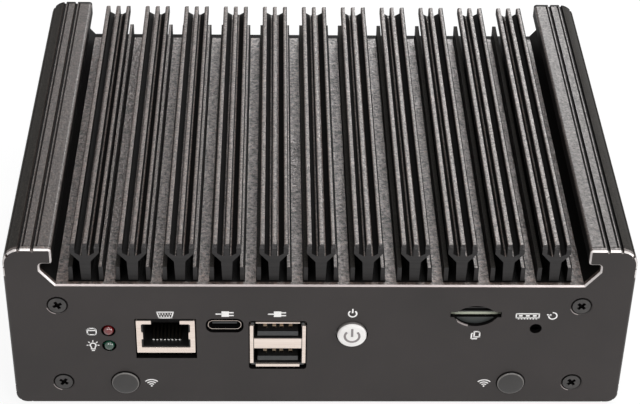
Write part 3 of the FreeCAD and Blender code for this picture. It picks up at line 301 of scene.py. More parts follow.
def shell_coat(name: str, colours: str, roughness: Pair, grain: float, relief: float,
               specular: float) -> Finish:
    """Return a blasted coating of the shell: two colours in one text, grain and relief in millimetres."""
    return Finish(name, "shell_black", *colours.split(), roughness, Effect.GRAIN, grain * MM, relief * MM,
                  specular=specular)


BLASTED = shell_coat("blasted_shell", "1a1614 62544e", (0.54, 0.26), 0.7, 0.13, 0.43)
# Lighter copy of the blasted coat for the floors between the fins: painted light that makes up for their
# shade
FLOOR_PAINTED_LIGHT = shell_coat("blasted_floor_painted_light", "120e0c 74625b", (0.56, 0.22), 0.85, 0.18, 0.46)
WING = shell_coat("blasted_wing", "1c1816 4e4440", (0.5, 0.3), 0.7, 0.1, 0.28)
SIDE = shell_coat("blasted_side", "1b1918 322d2b", (0.52, 0.36), 0.6, 0.05, 0.3)
# Darker, duller copy of the blasted coat: painted shade on the outer corners and on short-fin tops under the
# arms
SHADED_FLANK = shell_coat("blasted_flank_painted_shade", "1f1e1d 383532", (0.5, 0.6), 0.5, 0.04, 0.02)
TIP = shell_coat("sawn_tips", "2a2929 4c4a4a", (0.5, 0.6), 0.5, 0.04, 0.02)
# Near-black finish for painted shade: fin walls, grooves, gaps, recesses, cut-outs and socket mouths
PAINTED_SHADE = shell_coat("shaded_walls", "0a0909 121111", (0.5, 0.6), 0.55, 0.01, 0.03)
SAWN = Finish("sawn_fin_ends", "shell_black", "242323", "2e2c2c", (0.5, 0.6), Effect.LINES, 0.5 * MM,
              0.004 * MM, specular=0.25)
SATIN = Finish("satin_panel", "panel_charcoal", "272322", "2f2a29", (0.4, 0.48), size=30 * MM, specular=0.35)
THUMB = Finish("thumb_cut", "panel_charcoal", "262928", "2d302f", (0.4, 0.5), size=6 * MM)
PLUG = Finish("plug_plastic", "panel_charcoal", "2b2928", "312f2e", (0.34, 0.42), size=6 * MM)
# Light grey on the plugs' rounded shoulders: painted highlight
PLUG_HIGHLIGHT = Finish("plug_shoulder_painted_highlight", "panel_charcoal", "5c5957", "686562", (0.3, 0.38), size=6 * MM)
MILLED = Finish("milled_rim", "panel_charcoal", "898180", "958d8b", (0.3, 0.4), Effect.LINES, 0.3 * MM,
                0.003 * MM, metallic=0.75)
# Lighter copy of the milled rim for the hook bevels: painted highlight
RIM_HIGHLIGHT = Finish("rim_painted_highlight", "panel_charcoal", "bdb7b5", "cbc5c3", (0.3, 0.4), Effect.LINES, 0.3 * MM,
                  0.003 * MM, metallic=0.3)
OXIDE = Finish("black_oxide_screw", "screw_black", "2a2827", "373433", (0.34, 0.46), size=2 * MM)
RUBBER = Finish("foot_rubber", "rubber_black", "151515", "222120", (0.7, 0.85), Effect.GRAIN, 0.5 * MM,
                0.03 * MM)
PLATED = Finish("plated_sheet", "socket_metal", "e0d0c5", "eee0d6", (0.24, 0.34), Effect.LINES, 0.6 * MM,
                0.002 * MM, metallic=0.9)
NYLON = Finish("moulded_insulator", "insulator_black", "0e0e0e", "1b1a1a", (0.4, 0.55), Effect.GRAIN,
               0.6 * MM, 0.01 * MM)
# Lighter copy of the insulator for the tongues' front faces: painted light
LIT_TONGUE = Finish("socket_tongue_painted_light", "insulator_black", "2c2d2e", "363738", (0.4, 0.5), Effect.GRAIN, 0.6 * MM,
                0.01 * MM)
GOLD = Finish("gold_contact", "contact_gold", "f0d0a8", "fce6cc", (0.25, 0.35), Effect.LINES, 0.3 * MM,
              metallic=0.2)
# Near-black contacts along their run inside the sockets: painted shade
SHADED_CONTACT = Finish("contact_painted_shade", "contact_gold", "0d0b09", "14110d", (0.4, 0.5), Effect.LINES,
                   0.3 * MM, specular=0.1)
# Near-white ends of the contacts: painted highlights
TIP_HIGHLIGHT = Finish("contact_tip_painted_highlight", "contact_gold", "f8f5f0", "fdfcfa", (0.3, 0.4), Effect.LINES,
                    0.3 * MM)
IVORY = Finish("white_button", "button_white", "dcd9d7", "e9e7e5", (0.38, 0.5), size=3 * MM)
# Grey copy of the button's white for its side: painted shade
SHADED_IVORY = Finish("button_side_painted_shade", "button_white", "6f6b69", "7f7b79", (0.4, 0.5), size=3 * MM)
RED_LAMP = Finish("red_lamp_dome", "lamp_red", "4a0508", "6a0c10", (0.1, 0.16), size=2 * MM, coat=1.0)
GREEN_LAMP = Finish("green_lamp_dome", "lamp_green", "08291c", "124433", (0.1, 0.16), size=2 * MM, coat=1.0)
BOARD = Finish("board_coating", "board_green", "41543f", "7f8f78", (0.4, 0.5), Effect.TRACES, 9 * MM)
BARE_EDGE = Finish("bare_board_edge", "board_green", "989c8b", "b0b3a3", (0.4, 0.5), Effect.LINES, 2 * MM)
CHIP = Finish("moulded_chip", "chip_black", "191919", "242323", (0.5, 0.6), Effect.GRAIN, 0.4 * MM,
              0.01 * MM)
COPPER = Finish("machined_copper", "copper", "a8623c", "c98257", (0.25, 0.35), Effect.LINES, 0.5 * MM,
                0.003 * MM, metallic=1.0)
CAN = Finish("capacitor_can", "capacitor_silver", "b7b5b2", "d4d2cf", (0.25, 0.35), Effect.LINES, 0.4 * MM,
             metallic=1.0)
WHITE_INK = Finish("white_ink", None, "dedcda", "efeeed", (0.6, 0.7), Effect.GRAIN, 0.25 * MM)
GREY_INK = Finish("grey_ink", None, "7a7474", "878181", (0.5, 0.6), Effect.GRAIN, 0.25 * MM)


def dress(mesh: bpy.types.Mesh, *finishes: Finish) -> None:
    """Give a mesh its finishes.

    Args:
        mesh: The mesh.
        finishes: Its finishes, the main one first.
    """
    mesh.materials.clear()
    for finish in finishes:
        mesh.materials.append(finish.material())


# Bench work on meshes

def plane(axis: int, at: float) -> Plane:
    """Return a point and the normal of the plane across an axis at a place on it."""
    normal = Vector([float(index == axis) for index in range(3)])
    return normal * at, normal


def faces_front(centre: Vector, normal: Vector) -> bool:
    """Tell whether a face looks to the front."""
    return normal.y < -SQUARE_ON


def faces_out(centre: Vector, normal: Vector, least: float = SQUARE_ON) -> bool:
    """Tell whether a face looks out of the front or the rear, by at least so much of its normal."""
    return normal.y * centre.y > 0 and abs(normal.y) > least


class Piece:
    """A mesh on the bench, which is shaped, painted and settled on its body."""

    def __init__(self, name: str, mesh: bpy.types.Mesh, *finishes: Finish) -> None:
        """Link a mesh into the scene as an object.

        Args:
            name: Name of the piece.
            mesh: Its mesh.
            finishes: Its finishes, the main one first.
        """
        self.slot = finishes[0].slot
        self.obj = bpy.data.objects.new(name, mesh)
        bpy.context.scene.collection.objects.link(self.obj)
        mesh.name = name
        dress(mesh, *finishes)

    def take(self) -> None:
        """Select the piece alone and make it active."""
        bpy.ops.object.select_all(action="DESELECT")
        self.obj.select_set(True)
        bpy.context.view_layer.objects.active = self.obj

    @contextmanager
    def editing(self, kind: str = "FACE") -> Iterator[None]:
        """Keep the piece in edit mode for the length of a block.

        Args:
            kind: What is picked there: VERT, EDGE or FACE.

        Returns:
            The block, for a with statement.
        """
        self.take()
        bpy.ops.object.mode_set(mode="EDIT")
        bpy.ops.mesh.select_mode(type=kind)
        yield
        bpy.ops.object.mode_set(mode="OBJECT")

    def pick_faces(self, rule: Rule) -> None:
        """Select faces in edit mode.

        Args:
            rule: Tells by a face's centre and normal whether it is picked.
        """
        mesh = bmesh.from_edit_mesh(self.obj.data)
        for face in mesh.faces:
            face.select_set(rule(face.calc_center_median(), face.normal))
        bmesh.update_edit_mesh(self.obj.data)

    def pick_edges(self, rule: Spot) -> None:
        """Select edges in edit mode.

        Args:
            rule: Tells of a place whether an edge with both ends there is picked.
        """
        mesh = bmesh.from_edit_mesh(self.obj.data)
        for edge in mesh.edges:
            edge.select_set(all(rule(end.co) for end in edge.verts))
        bmesh.update_edit_mesh(self.obj.data)

    def round_edges(self, rule: Spot, width: float, steps: int) -> None:
        """Bevel the edges that have both ends at places that meet a rule.

        Args:
            rule: Tells whether a place is one of these.
            width: Width of the bevel.
            steps: Number of facets across it.
        """
        with self.editing("EDGE"):
            self.pick_edges(rule)
            bpy.ops.mesh.bevel(offset=width, segments=steps, affect="EDGES")

    def split(self, rule: Rule, *planes: Plane) -> None:
        """Cut the faces that meet a rule along planes, and leave the rest whole.

        Args:
            rule: Tells by a face's centre and normal whether it is cut.
            planes: A point and the normal of each plane.
        """
        with self.editing():
            for point, normal in planes:
                self.pick_faces(rule)
                bpy.ops.mesh.bisect(plane_co=point, plane_no=normal)

    def paint(self, finish: Finish, rule: Rule) -> None:
        """Give the faces that meet a rule one of the piece's finishes.

        Args:
            finish: The finish.
            rule: Tells by a face's centre and normal whether it gets it.
        """
        index = self.obj.data.materials.find(finish.name)
        for face in self.obj.data.polygons:
            if rule(face.center, face.normal):
                face.material_index = index

    def modify(self, kind: str, **settings: object) -> None:
        """Add a modifier and apply it.

        Args:
            kind: Kind of modifier.
            settings: Its settings.
        """
        self.take()
        modifier = self.obj.modifiers.new(kind.lower(), kind)
        for name, value in settings.items():
            setattr(modifier, name, value)
        bpy.ops.object.modifier_apply(modifier=modifier.name)

    def soften(self, edge: float, steps: int = 2, sharp: float = 32) -> None:
        """Round the sharp edges and shade what is left of them smooth.

        Args:
            edge: Width of the rounding.
            steps: Number of facets across it.
            sharp: Angle in degrees from which an edge counts as sharp.
        """
        self.modify("BEVEL", width=edge, segments=steps, limit_method="ANGLE",
                    angle_limit=math.radians(sharp), miter_outer="MITER_SHARP")
        self.take()
        bpy.ops.object.shade_smooth_by_angle(angle=math.radians(sharp))
        self.modify("WEIGHTED_NORMAL", keep_sharp=True)

    def apply_place(self) -> None:
        """Put the object's place and turn into its mesh."""
        self.take()
        bpy.ops.object.transform_apply(location=True, rotation=True, scale=True)

    def settle(self, *stands_for: str, body: str = CASE) -> None:
        """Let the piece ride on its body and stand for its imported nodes.

        Args:
            stands_for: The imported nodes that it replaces.
            body: The body that it moves with.
        """
        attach(self.obj, body)
        if stands_for:
            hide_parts(*stands_for)
        LOG.info("%s: %d faces on %s", self.obj.name, len(self.obj.data.polygons), body)


class Refined(Piece):
    """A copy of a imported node's mesh, which stands for the node when it is done."""

    merge = 0.0005 * MM
    flat = math.radians(0.4)

    def __init__(self, node: str, *finishes: Finish, name: str | None = None) -> None:
        """Copy the node's mesh, merged and with its flat faces whole.

        Args:
            node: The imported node.
            finishes: Finishes of the piece, the main one first.
            name: Its name, if it isn't the node's with _piece after it.
        """
        super().__init__(name or f"{node}_piece", frame["nodes"][node].data.copy(), *finishes)
        self.node = node
        self.take()
        bpy.ops.mesh.customdata_custom_splitnormals_clear()
        with self.editing():
            bpy.ops.mesh.select_all(action="SELECT")
            bpy.ops.mesh.remove_doubles(threshold=self.merge)
            bpy.ops.mesh.dissolve_limited(angle_limit=self.flat)

    def done(self, edge: float, steps: int = 2, sharp: float = 32, body: str = CASE) -> None:
        """Round the sharp edges and let the piece stand for its node.

        Args:
            edge: Width of the rounding.
            steps: Number of facets across it.
            sharp: Angle in degrees from which an edge counts as sharp.
            body: The body that the piece moves with.
        """
        self.soften(edge, steps, sharp)
        self.settle(self.node, body=body)


# Case

@dataclass
class HeatsinkShell:
    """Extruded shell with its fins."""

    edge: float = 0.14 * MM
    joint: float = 0.18 * MM
    fin_count: int = 11
    fin_pitch: float = 12.5 * MM
    fin_reach: float = 4.8 * MM
    prong_reach: float = 3.6 * MM
    prong_pitch: float = 3.2 * MM
    shoulder: float = 0.55 * MM
    shoulder_steps: int = 4
    shoulder_dark: float = 0.6
    prong_top: float = 55.8 * MM
    short_reach: float = 4.25 * MM
    short_top: float = 49 * MM
    floor: float = 44.6 * MM
    floor_end: float = 62.4 * MM
    notch: float = 52.8 * MM
    notch_dark: float = 0.86 * MM
    arm_heights: Pair = (47 * MM, 55 * MM)
    edge_heights: Pair = (48.5 * MM, 55.9 * MM)
    fin_side: float = 69 * MM
    channel_side: float = 73 * MM
    channel_wall: float = 2 * MM
    channel_top: float = 54 * MM
    corner: float = 80.1 * MM
    wing_top: float = 56.4 * MM
    near: float = 0.08 * MM
    level: float = 0.98
    upright: float = 0.95
    steep: float = 0.6
    sawn: float = 0.3
    rounded: Pair = (0.2, 0.97)

    def off_fin(self, x: float) -> float:
        """Return how far to the right of the middle of the nearest fin a place is."""
        last = (self.fin_count - 1) / 2
        return x - min(max(round(x / self.fin_pitch), -last), last) * self.fin_pitch

    def on_level(self, centre: Vector, normal: Vector, height: float) -> bool:
        """Tell whether a face lies flat at a height between the wings."""
        return normal.z > self.level and abs(centre.z - height) < self.near and abs(centre.x) < self.corner

    def on_shoulder(self, place: Vector) -> bool:
        """Tell whether a place lies on the left edge of a prong's top.

        Args:
            place: The place.

        Returns:
            Whether it lies there.
        """
        on_top = abs(place.z - self.prong_top) < self.near and abs(place.x) < self.fin_side
        off = self.off_fin(place.x)
        return on_top and off < round(off / self.prong_pitch) * self.prong_pitch

    def is_end(self, centre: Vector, normal: Vector) -> bool:
        """Tell whether a face was cut by the saw or is the cut tip of a fin."""
        return abs(normal.y) > self.sawn

    def is_joint(self, centre: Vector, normal: Vector) -> bool:
        """Tell whether a face lies in the joint behind the front panel, where shade is painted."""
        high = centre.z > self.edge_heights[0] and abs(centre.x) > self.fin_side
        return high and self.sawn < -normal.y < self.upright

    def is_shaded_wing(self, centre: Vector, normal: Vector) -> bool:
        """Tell whether a face lies in the channel beside a wing or in a groove, on the side without light.

        Args:
            centre: Centre of the face.
            normal: Its normal.

        Returns:
            Whether it lies there.
        """
        side = abs(centre.x)
        in_channel = side < self.channel_side + self.channel_wall and centre.z < self.channel_top
        unlit = centre.z < self.wing_top - self.near and normal.x < self.steep
        return in_channel or unlit and side > self.channel_side

    def is_shaded(self, centre: Vector, normal: Vector) -> bool:
        """Tell whether a face lies between the fins, under their arms or in a groove, where shade is
        painted.

        Args:
            centre: Centre of the face.
            normal: Its normal.

        Returns:
            Whether it lies there.
        """
        if centre.z < self.floor - self.near or abs(centre.x) > self.corner:
            return False
        if abs(centre.x) > self.fin_side:
            return self.is_shaded_wing(centre, normal)
        off = self.off_fin(centre.x)
        if self.on_level(centre, normal, self.floor):
            return abs(off) < self.fin_reach or centre.y > self.floor_end
        if self.on_level(centre, normal, self.notch):
            return abs(off) < self.notch_dark
        for height, reach in ((self.prong_top, self.prong_reach), (self.short_top, self.short_reach)):
            if self.on_level(centre, normal, height):
                return off > reach
        slanted = self.arm_heights[0] < centre.z < self.arm_heights[1] and normal.z < self.level
        return slanted and abs(off) < self.fin_reach or abs(normal.x) > self.steep

    def is_tip(self, centre: Vector, normal: Vector) -> bool:
        """Tell whether a face is the sloping tip of a prong."""
        sloping = self.rounded[0] < -normal.y < self.rounded[1] and normal.z > self.rounded[0]
        return sloping and centre.z > self.edge_heights[0]

    def is_unlit_short_top(self, centre: Vector, normal: Vector) -> bool:
        """Tell whether a face is the top of a short fin on a fin's unlit side, where shade is painted."""
        return self.on_level(centre, normal, self.short_top) and self.off_fin(centre.x) < 0

    def is_dark_edge(self, centre: Vector, normal: Vector) -> bool:
        """Tell whether a face rounds an edge of a fin that turns from the light or lies beside a gap.

        Args:
            centre: Centre of the face.
            normal: Its normal.

        Returns:
            Whether it does.
        """
        high = self.edge_heights[0] < centre.z < self.edge_heights[1] and abs(centre.x) < self.fin_side
        rounding = self.rounded[0] < abs(normal.x) < self.rounded[1] and normal.z > self.rounded[0]
        unlit = normal.x < -self.shoulder_dark or self.off_fin(centre.x) > self.prong_reach
        return high and rounding and unlit

    def split_strips(self, shell: Refined) -> None:
        """Cut the floors and the tops of the fins where their strips of painted shade begin.

        Args:
            shell: The shell.
        """
        last = (self.fin_count - 1) / 2
        middles = [(number - last) * self.fin_pitch for number in range(self.fin_count)]
        strips = ((self.floor, self.fin_reach, (-1, 1)), (self.notch, self.notch_dark, (-1, 1)),
                  (self.prong_top, self.prong_reach, (1,)), (self.short_top, self.short_reach, (1,)))
        for height, reach, sides in strips:
            planes = [plane(X, middle + side * reach) for middle in middles for side in sides]
            if height == self.floor:
                planes.append(plane(Y, self.floor_end))
            shell.split(lambda centre, normal: self.on_level(centre, normal, height), *planes)

    def build(self) -> None:
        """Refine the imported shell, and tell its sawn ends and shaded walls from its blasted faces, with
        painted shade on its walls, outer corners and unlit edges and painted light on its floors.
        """
        finishes = (BLASTED, SAWN, PAINTED_SHADE, SHADED_FLANK, WING, FLOOR_PAINTED_LIGHT, SIDE, TIP)
        shell = Refined("heatsink_shell", *finishes, name="finned_shell")
        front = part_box("heatsink_shell")[0].y + self.near
        foot = self.edge_heights[1] - self.joint
        shell.round_edges(lambda end: end.y < front and end.z > foot, self.joint, 1)
        shell.round_edges(self.on_shoulder, self.shoulder, self.shoulder_steps)
        self.split_strips(shell)
        # Painted light on the floors; painted shade on the outer corners, between the fins, on unlit
        # short-fin tops and in the joint
        rules = (
            (WING, lambda centre, normal: abs(centre.x) > self.fin_side and centre.z > self.channel_top),
            (SHADED_FLANK, lambda centre, normal: abs(centre.x) > self.corner),
            (SIDE, lambda centre, normal: abs(centre.x) > self.corner and abs(normal.x) > self.upright),
            (FLOOR_PAINTED_LIGHT, lambda centre, normal: self.on_level(centre, normal, self.floor)),
            (PAINTED_SHADE, self.is_shaded),
            (SAWN, self.is_end),
            (SHADED_FLANK, self.is_unlit_short_top),
            (TIP, self.is_tip),
            (PAINTED_SHADE, self.is_joint),
        )
        for finish, rule in rules:
            shell.paint(finish, rule)
        shell.soften(self.edge)
        # Painted shade on the rounded edges that turn from the light or lie beside a gap
        shell.paint(PAINTED_SHADE, self.is_dark_edge)
        shell.settle("heatsink_shell")


@dataclass
class EndPanel:
    """Front or rear panel: satin faces, a bevel round the outline, painted highlights on a few edges and
    painted shade on the walls of its cut-outs.
    """

    node: str
    name: str
    rim: Finish
    top: Finish
    hook: Finish
    edge: float = 0.05 * MM
    edge_steps: int = 2
    bevel_tilt: Pair = (0.5, 0.9)
    top_tilt: float = 0.3
    wall_tilt: float = 0.5
    flat: float = 0.99
    rim_foot: float = 43.5 * MM
    hook_side: float = 68.3 * MM
    side_foot: float = 46.5 * MM
    cutout_side: float = 76 * MM
    cutout_foot: float = 3 * MM
    screw_head: float = 2.95 * MM
    screw_reach: float = 4 * MM
    sink_edge: float = 0.2 * MM
    sink_span: Pair = (195, 260)
    sink_tilt: Pair = (0.15, 0.97)
    thumb_span: Pair = (35.5 * MM, 48.6 * MM)
    thumb_heights: Pair = (29 * MM, 33.2 * MM)
    thumb_edge: float = 0.4 * MM
    thumb_glint: float = 40.3 * MM
    thumb_tilt: Pair = (0.2, 0.97)
    pocket_radius: float = 7.34 * MM
    pocket_sides: int = 128
    pocket_foot: float = 30.4 * MM
    pocket_top: float = 32.9 * MM
    pocket_depth: float = 1.2 * MM
    pocket_wall: float = 0.6 * MM

    def __post_init__(self) -> None:
        """Find the panel's outer face and the middles of its screws."""
        low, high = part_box(self.node)
        self.inward = 1 if low.y < 0 else -1
        self.outer = low.y if low.y < 0 else high.y
        low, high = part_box(f"{self.node}_screws")
        self.screws = [Vector((x, z)) for x in (low.x + self.screw_head, high.x - self.screw_head)
                       for z in (low.z + self.screw_head, high.z - self.screw_head)]

    def from_screw(self, place: Vector) -> Vector:
        """Return the way from the nearest screw to a place, across and up."""
        ways = [Vector((place.x, place.z)) - screw for screw in self.screws]
        return min(ways, key=lambda way: way.length)

    def by_screw(self, place: Vector) -> bool:
        """Tell whether a place lies on the countersink of a screw."""
        return self.screw_head < self.from_screw(place).length < self.screw_reach

    def on_thumb(self, place: Vector) -> bool:
        """Tell whether a place lies at the lower part of the thumb cut."""
        across = self.thumb_span[0] < place.x < self.thumb_span[1]
        return across and self.thumb_heights[0] < place.z < self.thumb_heights[1]

    def tilted(self, normal: Vector, tilt: Pair) -> bool:
        """Tell whether a face looks out of the panel at a slant."""
        return tilt[0] < -normal.y * self.inward < tilt[1]

    def on_bevel(self, centre: Vector, normal: Vector) -> bool:
        """Tell whether a face belongs to the bevel along the upper part of the outline."""
        foot = self.side_foot if abs(centre.x) > self.cutout_side else self.rim_foot
        return self.tilted(normal, self.bevel_tilt) and centre.z > foot

    def on_hook(self, centre: Vector, normal: Vector) -> bool:
        """Tell whether a face belongs to the bevel at the hooks beside the fins."""
        return self.on_bevel(centre, normal) and abs(centre.x) > self.hook_side

    def on_top(self, centre: Vector, normal: Vector) -> bool:
        """Tell whether a face lies across the upper edge."""
        return centre.z > self.rim_foot and abs(normal.y) < self.top_tilt

    def in_cutout(self, centre: Vector, normal: Vector) -> bool:
        """Tell whether a face is the wall of a cut-out.

        Args:
            centre: Centre of the face.
            normal: Its normal.

        Returns:
            Whether it is.
        """
        inside = abs(centre.x) < self.cutout_side and self.cutout_foot < centre.z < self.rim_foot
        clear = self.from_screw(centre).length > self.screw_reach
        return inside and clear and abs(normal.y) < self.wall_tilt

    def in_pocket(self, centre: Vector, normal: Vector) -> bool:
        """Tell whether a face is the floor of the thumb cut."""
        return self.on_thumb(centre) and normal.y < -self.flat and centre.y > self.outer + self.edge

    def is_bare_or_glint(self, centre: Vector, normal: Vector) -> bool:
        """Tell whether a face is the bare bevel, or a countersink or thumb-cut edge with a painted
        highlight.

        Args:
            centre: Centre of the face.
            normal: Its normal.

        Returns:
            Whether it is.
        """
        way = self.from_screw(centre)
        turn = math.degrees(math.atan2(way.y, way.x)) % 360
        lit = self.by_screw(centre) and self.sink_span[0] < turn < self.sink_span[1]
        sink = lit and self.tilted(normal, self.sink_tilt)
        glint = self.on_thumb(centre) and centre.x < self.thumb_glint
        thumb = glint and self.tilted(normal, self.thumb_tilt)
        return self.on_bevel(centre, normal) or sink or thumb

    def floor_thumb(self, panel: Refined) -> None:
        """Close the lower part of the thumb cut with a floor, set back inside the panel's thickness.

        Args:
            panel: The panel.
        """
        face = self.outer + self.pocket_depth
        middle = Vector((sum(self.thumb_span) / 2, face, self.pocket_foot + self.pocket_radius))
        with panel.editing():
            bpy.ops.mesh.select_all(action="DESELECT")
            bpy.ops.mesh.primitive_circle_add(vertices=self.pocket_sides, radius=self.pocket_radius,
                                              fill_type="NGON", location=middle,
                                              rotation=(math.pi / 2, 0, 0))
            bpy.ops.mesh.bisect(plane_co=(0, 0, self.pocket_top), plane_no=(0, 0, 1), clear_outer=True)
            panel.pick_faces(lambda centre, normal: abs(centre.y - face) < self.edge
                             and abs(normal.y) > self.flat)
            bpy.ops.mesh.extrude_region_move(TRANSFORM_OT_translate={"value": (0, self.pocket_wall, 0)})
            bpy.ops.mesh.select_linked()
            bpy.ops.mesh.normals_make_consistent(inside=False)

    def build(self) -> None:
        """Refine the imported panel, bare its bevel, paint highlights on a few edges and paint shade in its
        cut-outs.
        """
        panel = Refined(self.node, SATIN, self.rim, self.top, PAINTED_SHADE, THUMB, self.hook, name=self.name)
        if self.inward > 0:
            for holds, width in ((self.by_screw, self.sink_edge), (self.on_thumb, self.thumb_edge)):
                panel.round_edges(lambda end: abs(end.y - self.outer) < self.edge and holds(end),
                                  width, self.edge_steps)
            self.floor_thumb(panel)
        # Painted shade on the cut-out walls; painted highlights on the lower-left edges of the countersinks
        # and the thumb cut
        for finish, rule in ((self.top, self.on_top), (PAINTED_SHADE, self.in_cutout), (THUMB, self.in_pocket),
                             (self.rim, self.is_bare_or_glint), (self.hook, self.on_hook)):
            panel.paint(finish, rule)
        panel.done(self.edge, 1)


@dataclass
class Underside:
    """Bottom cover and feet."""

    edge: float = 0.2 * MM
    foot_edge: float = 0.3 * MM

    def build(self) -> None:
        """Refine the cover and the feet."""
        Refined("bottom_cover", SATIN).done(self.edge)
        for end in ("front", "rear"):
            for side in ("left", "right"):
                Refined(f"foot_{end}_{side}", RUBBER).done(self.foot_edge, 3)


@dataclass
class CaseScrews:
    """Countersunk screws of one face of the case, each turned to its own angle, with painted shade on its
    rim and recess.
    """

    node: str
    axis: int
    head: float = 2.95 * MM
    rim: float = 0.5 * MM
    rim_steps: int = 3
    rim_slant: Pair = (0.1, 0.99)
    rim_band: Pair = (0.94, 1.08)
    rim_end: float = 1.1
    grasp: float = 1.2
    edge: float = 0.06 * MM
    recess: float = 1.9 * MM
    turns: tuple[float, ...] = (55, 28, 40, 47)

    def __post_init__(self) -> None:
        """Find the plane of the heads and the middles of the screws."""
        low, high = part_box(self.node)
        self.front = (low if self.axis == Z or low.y < 0 else high)[self.axis]
        self.across = [index for index in range(3) if index != self.axis]
        first, second = self.across
        self.middles = [Vector((x, y)) for x in (low[first] + self.head, high[first] - self.head)
                        for y in (low[second] + self.head, high[second] - self.head)]

    def reach(self, place: Vector, middle: Vector) -> float:
        """Return how far a place lies from the axis of a screw."""
        return (Vector([place[index] for index in self.across]) - middle).length

    def nearest(self, place: Vector) -> float:
        """Return how far a place lies from the axis of the nearest screw."""
        return min(self.reach(place, middle) for middle in self.middles)

    def on_rim(self, place: Vector) -> bool:
        """Tell whether a place lies on the outer edge of a head."""
        level = abs(place[self.axis] - self.front) <= self.edge
        return level and self.rim_band[0] < self.nearest(place) / self.head < self.rim_band[1]

    def is_dark(self, centre: Vector, normal: Vector) -> bool:
        """Tell whether a face belongs to the rim of a head or to its recess, where shade is painted.

        Args:
            centre: Centre of the face.
            normal: Its normal.

        Returns:
            Whether it does.
        """
        out = self.nearest(centre)
        slanted = self.rim_slant[0] < abs(normal[self.axis]) < self.rim_slant[1]
        on_rim = slanted and self.head - self.rim < out < self.head * self.rim_end
        return on_rim or abs(centre[self.axis] - self.front) > self.edge and out < self.recess

    def build(self) -> None:
        """Turn the rim of each head down, paint shade on the rims and recesses, turn each screw and round
        the rest.
        """
        screws = Refined(self.node, OXIDE, PAINTED_SHADE)
        screws.round_edges(self.on_rim, self.rim, self.rim_steps)
        # Painted shade on the rims and in the recesses
        screws.paint(PAINTED_SHADE, self.is_dark)
        for middle, turn in zip(self.middles, self.turns):
            pivot = plane(self.axis, self.front)[0]
            pivot[self.across[0]], pivot[self.across[1]] = middle
            with screws.editing():
                screws.pick_faces(lambda centre, normal: self.reach(centre, middle) < self.head * self.grasp)
                bpy.ops.transform.rotate(value=math.radians(turn), orient_axis="XYZ"[self.axis],
                                         center_override=pivot)
        screws.done(self.edge, 1)


# Sockets

@dataclass
class NetworkJack:
    """Shielded network-type socket."""

    node: str
    sheet_edge: float = 0.12 * MM
    moulded_edge: float = 0.1 * MM
    arm: float = 1.15 * MM
    arm_reach: float = 1.6 * MM
    arm_shade: float = 1 * MM

    def build(self) -> None:
        """Refine the shield, with painted shade on the lower strip of its upper arms, and the moulded
        insert, with painted shade on its face at the height of the arms.
        """
        low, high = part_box(f"{self.node}_shield")
        cut = high.z - self.arm
        left, right = low.x + self.arm_reach, high.x - self.arm_reach
        shield = Refined(f"{self.node}_shield", PLATED, PAINTED_SHADE)
        shield.split(faces_out, plane(Z, cut), plane(X, left), plane(X, right))
        shield.paint(PAINTED_SHADE, lambda centre, normal: faces_out(centre, normal) and left < centre.x < right
                     and cut - self.arm_shade < centre.z < cut)
        shield.done(self.sheet_edge)
        insert = Refined(f"{self.node}_insert", NYLON, PAINTED_SHADE)
        insert.split(faces_out, plane(Z, cut))
        insert.paint(PAINTED_SHADE, lambda centre, normal: faces_out(centre, normal) and centre.z > cut)
        insert.done(self.moulded_edge)


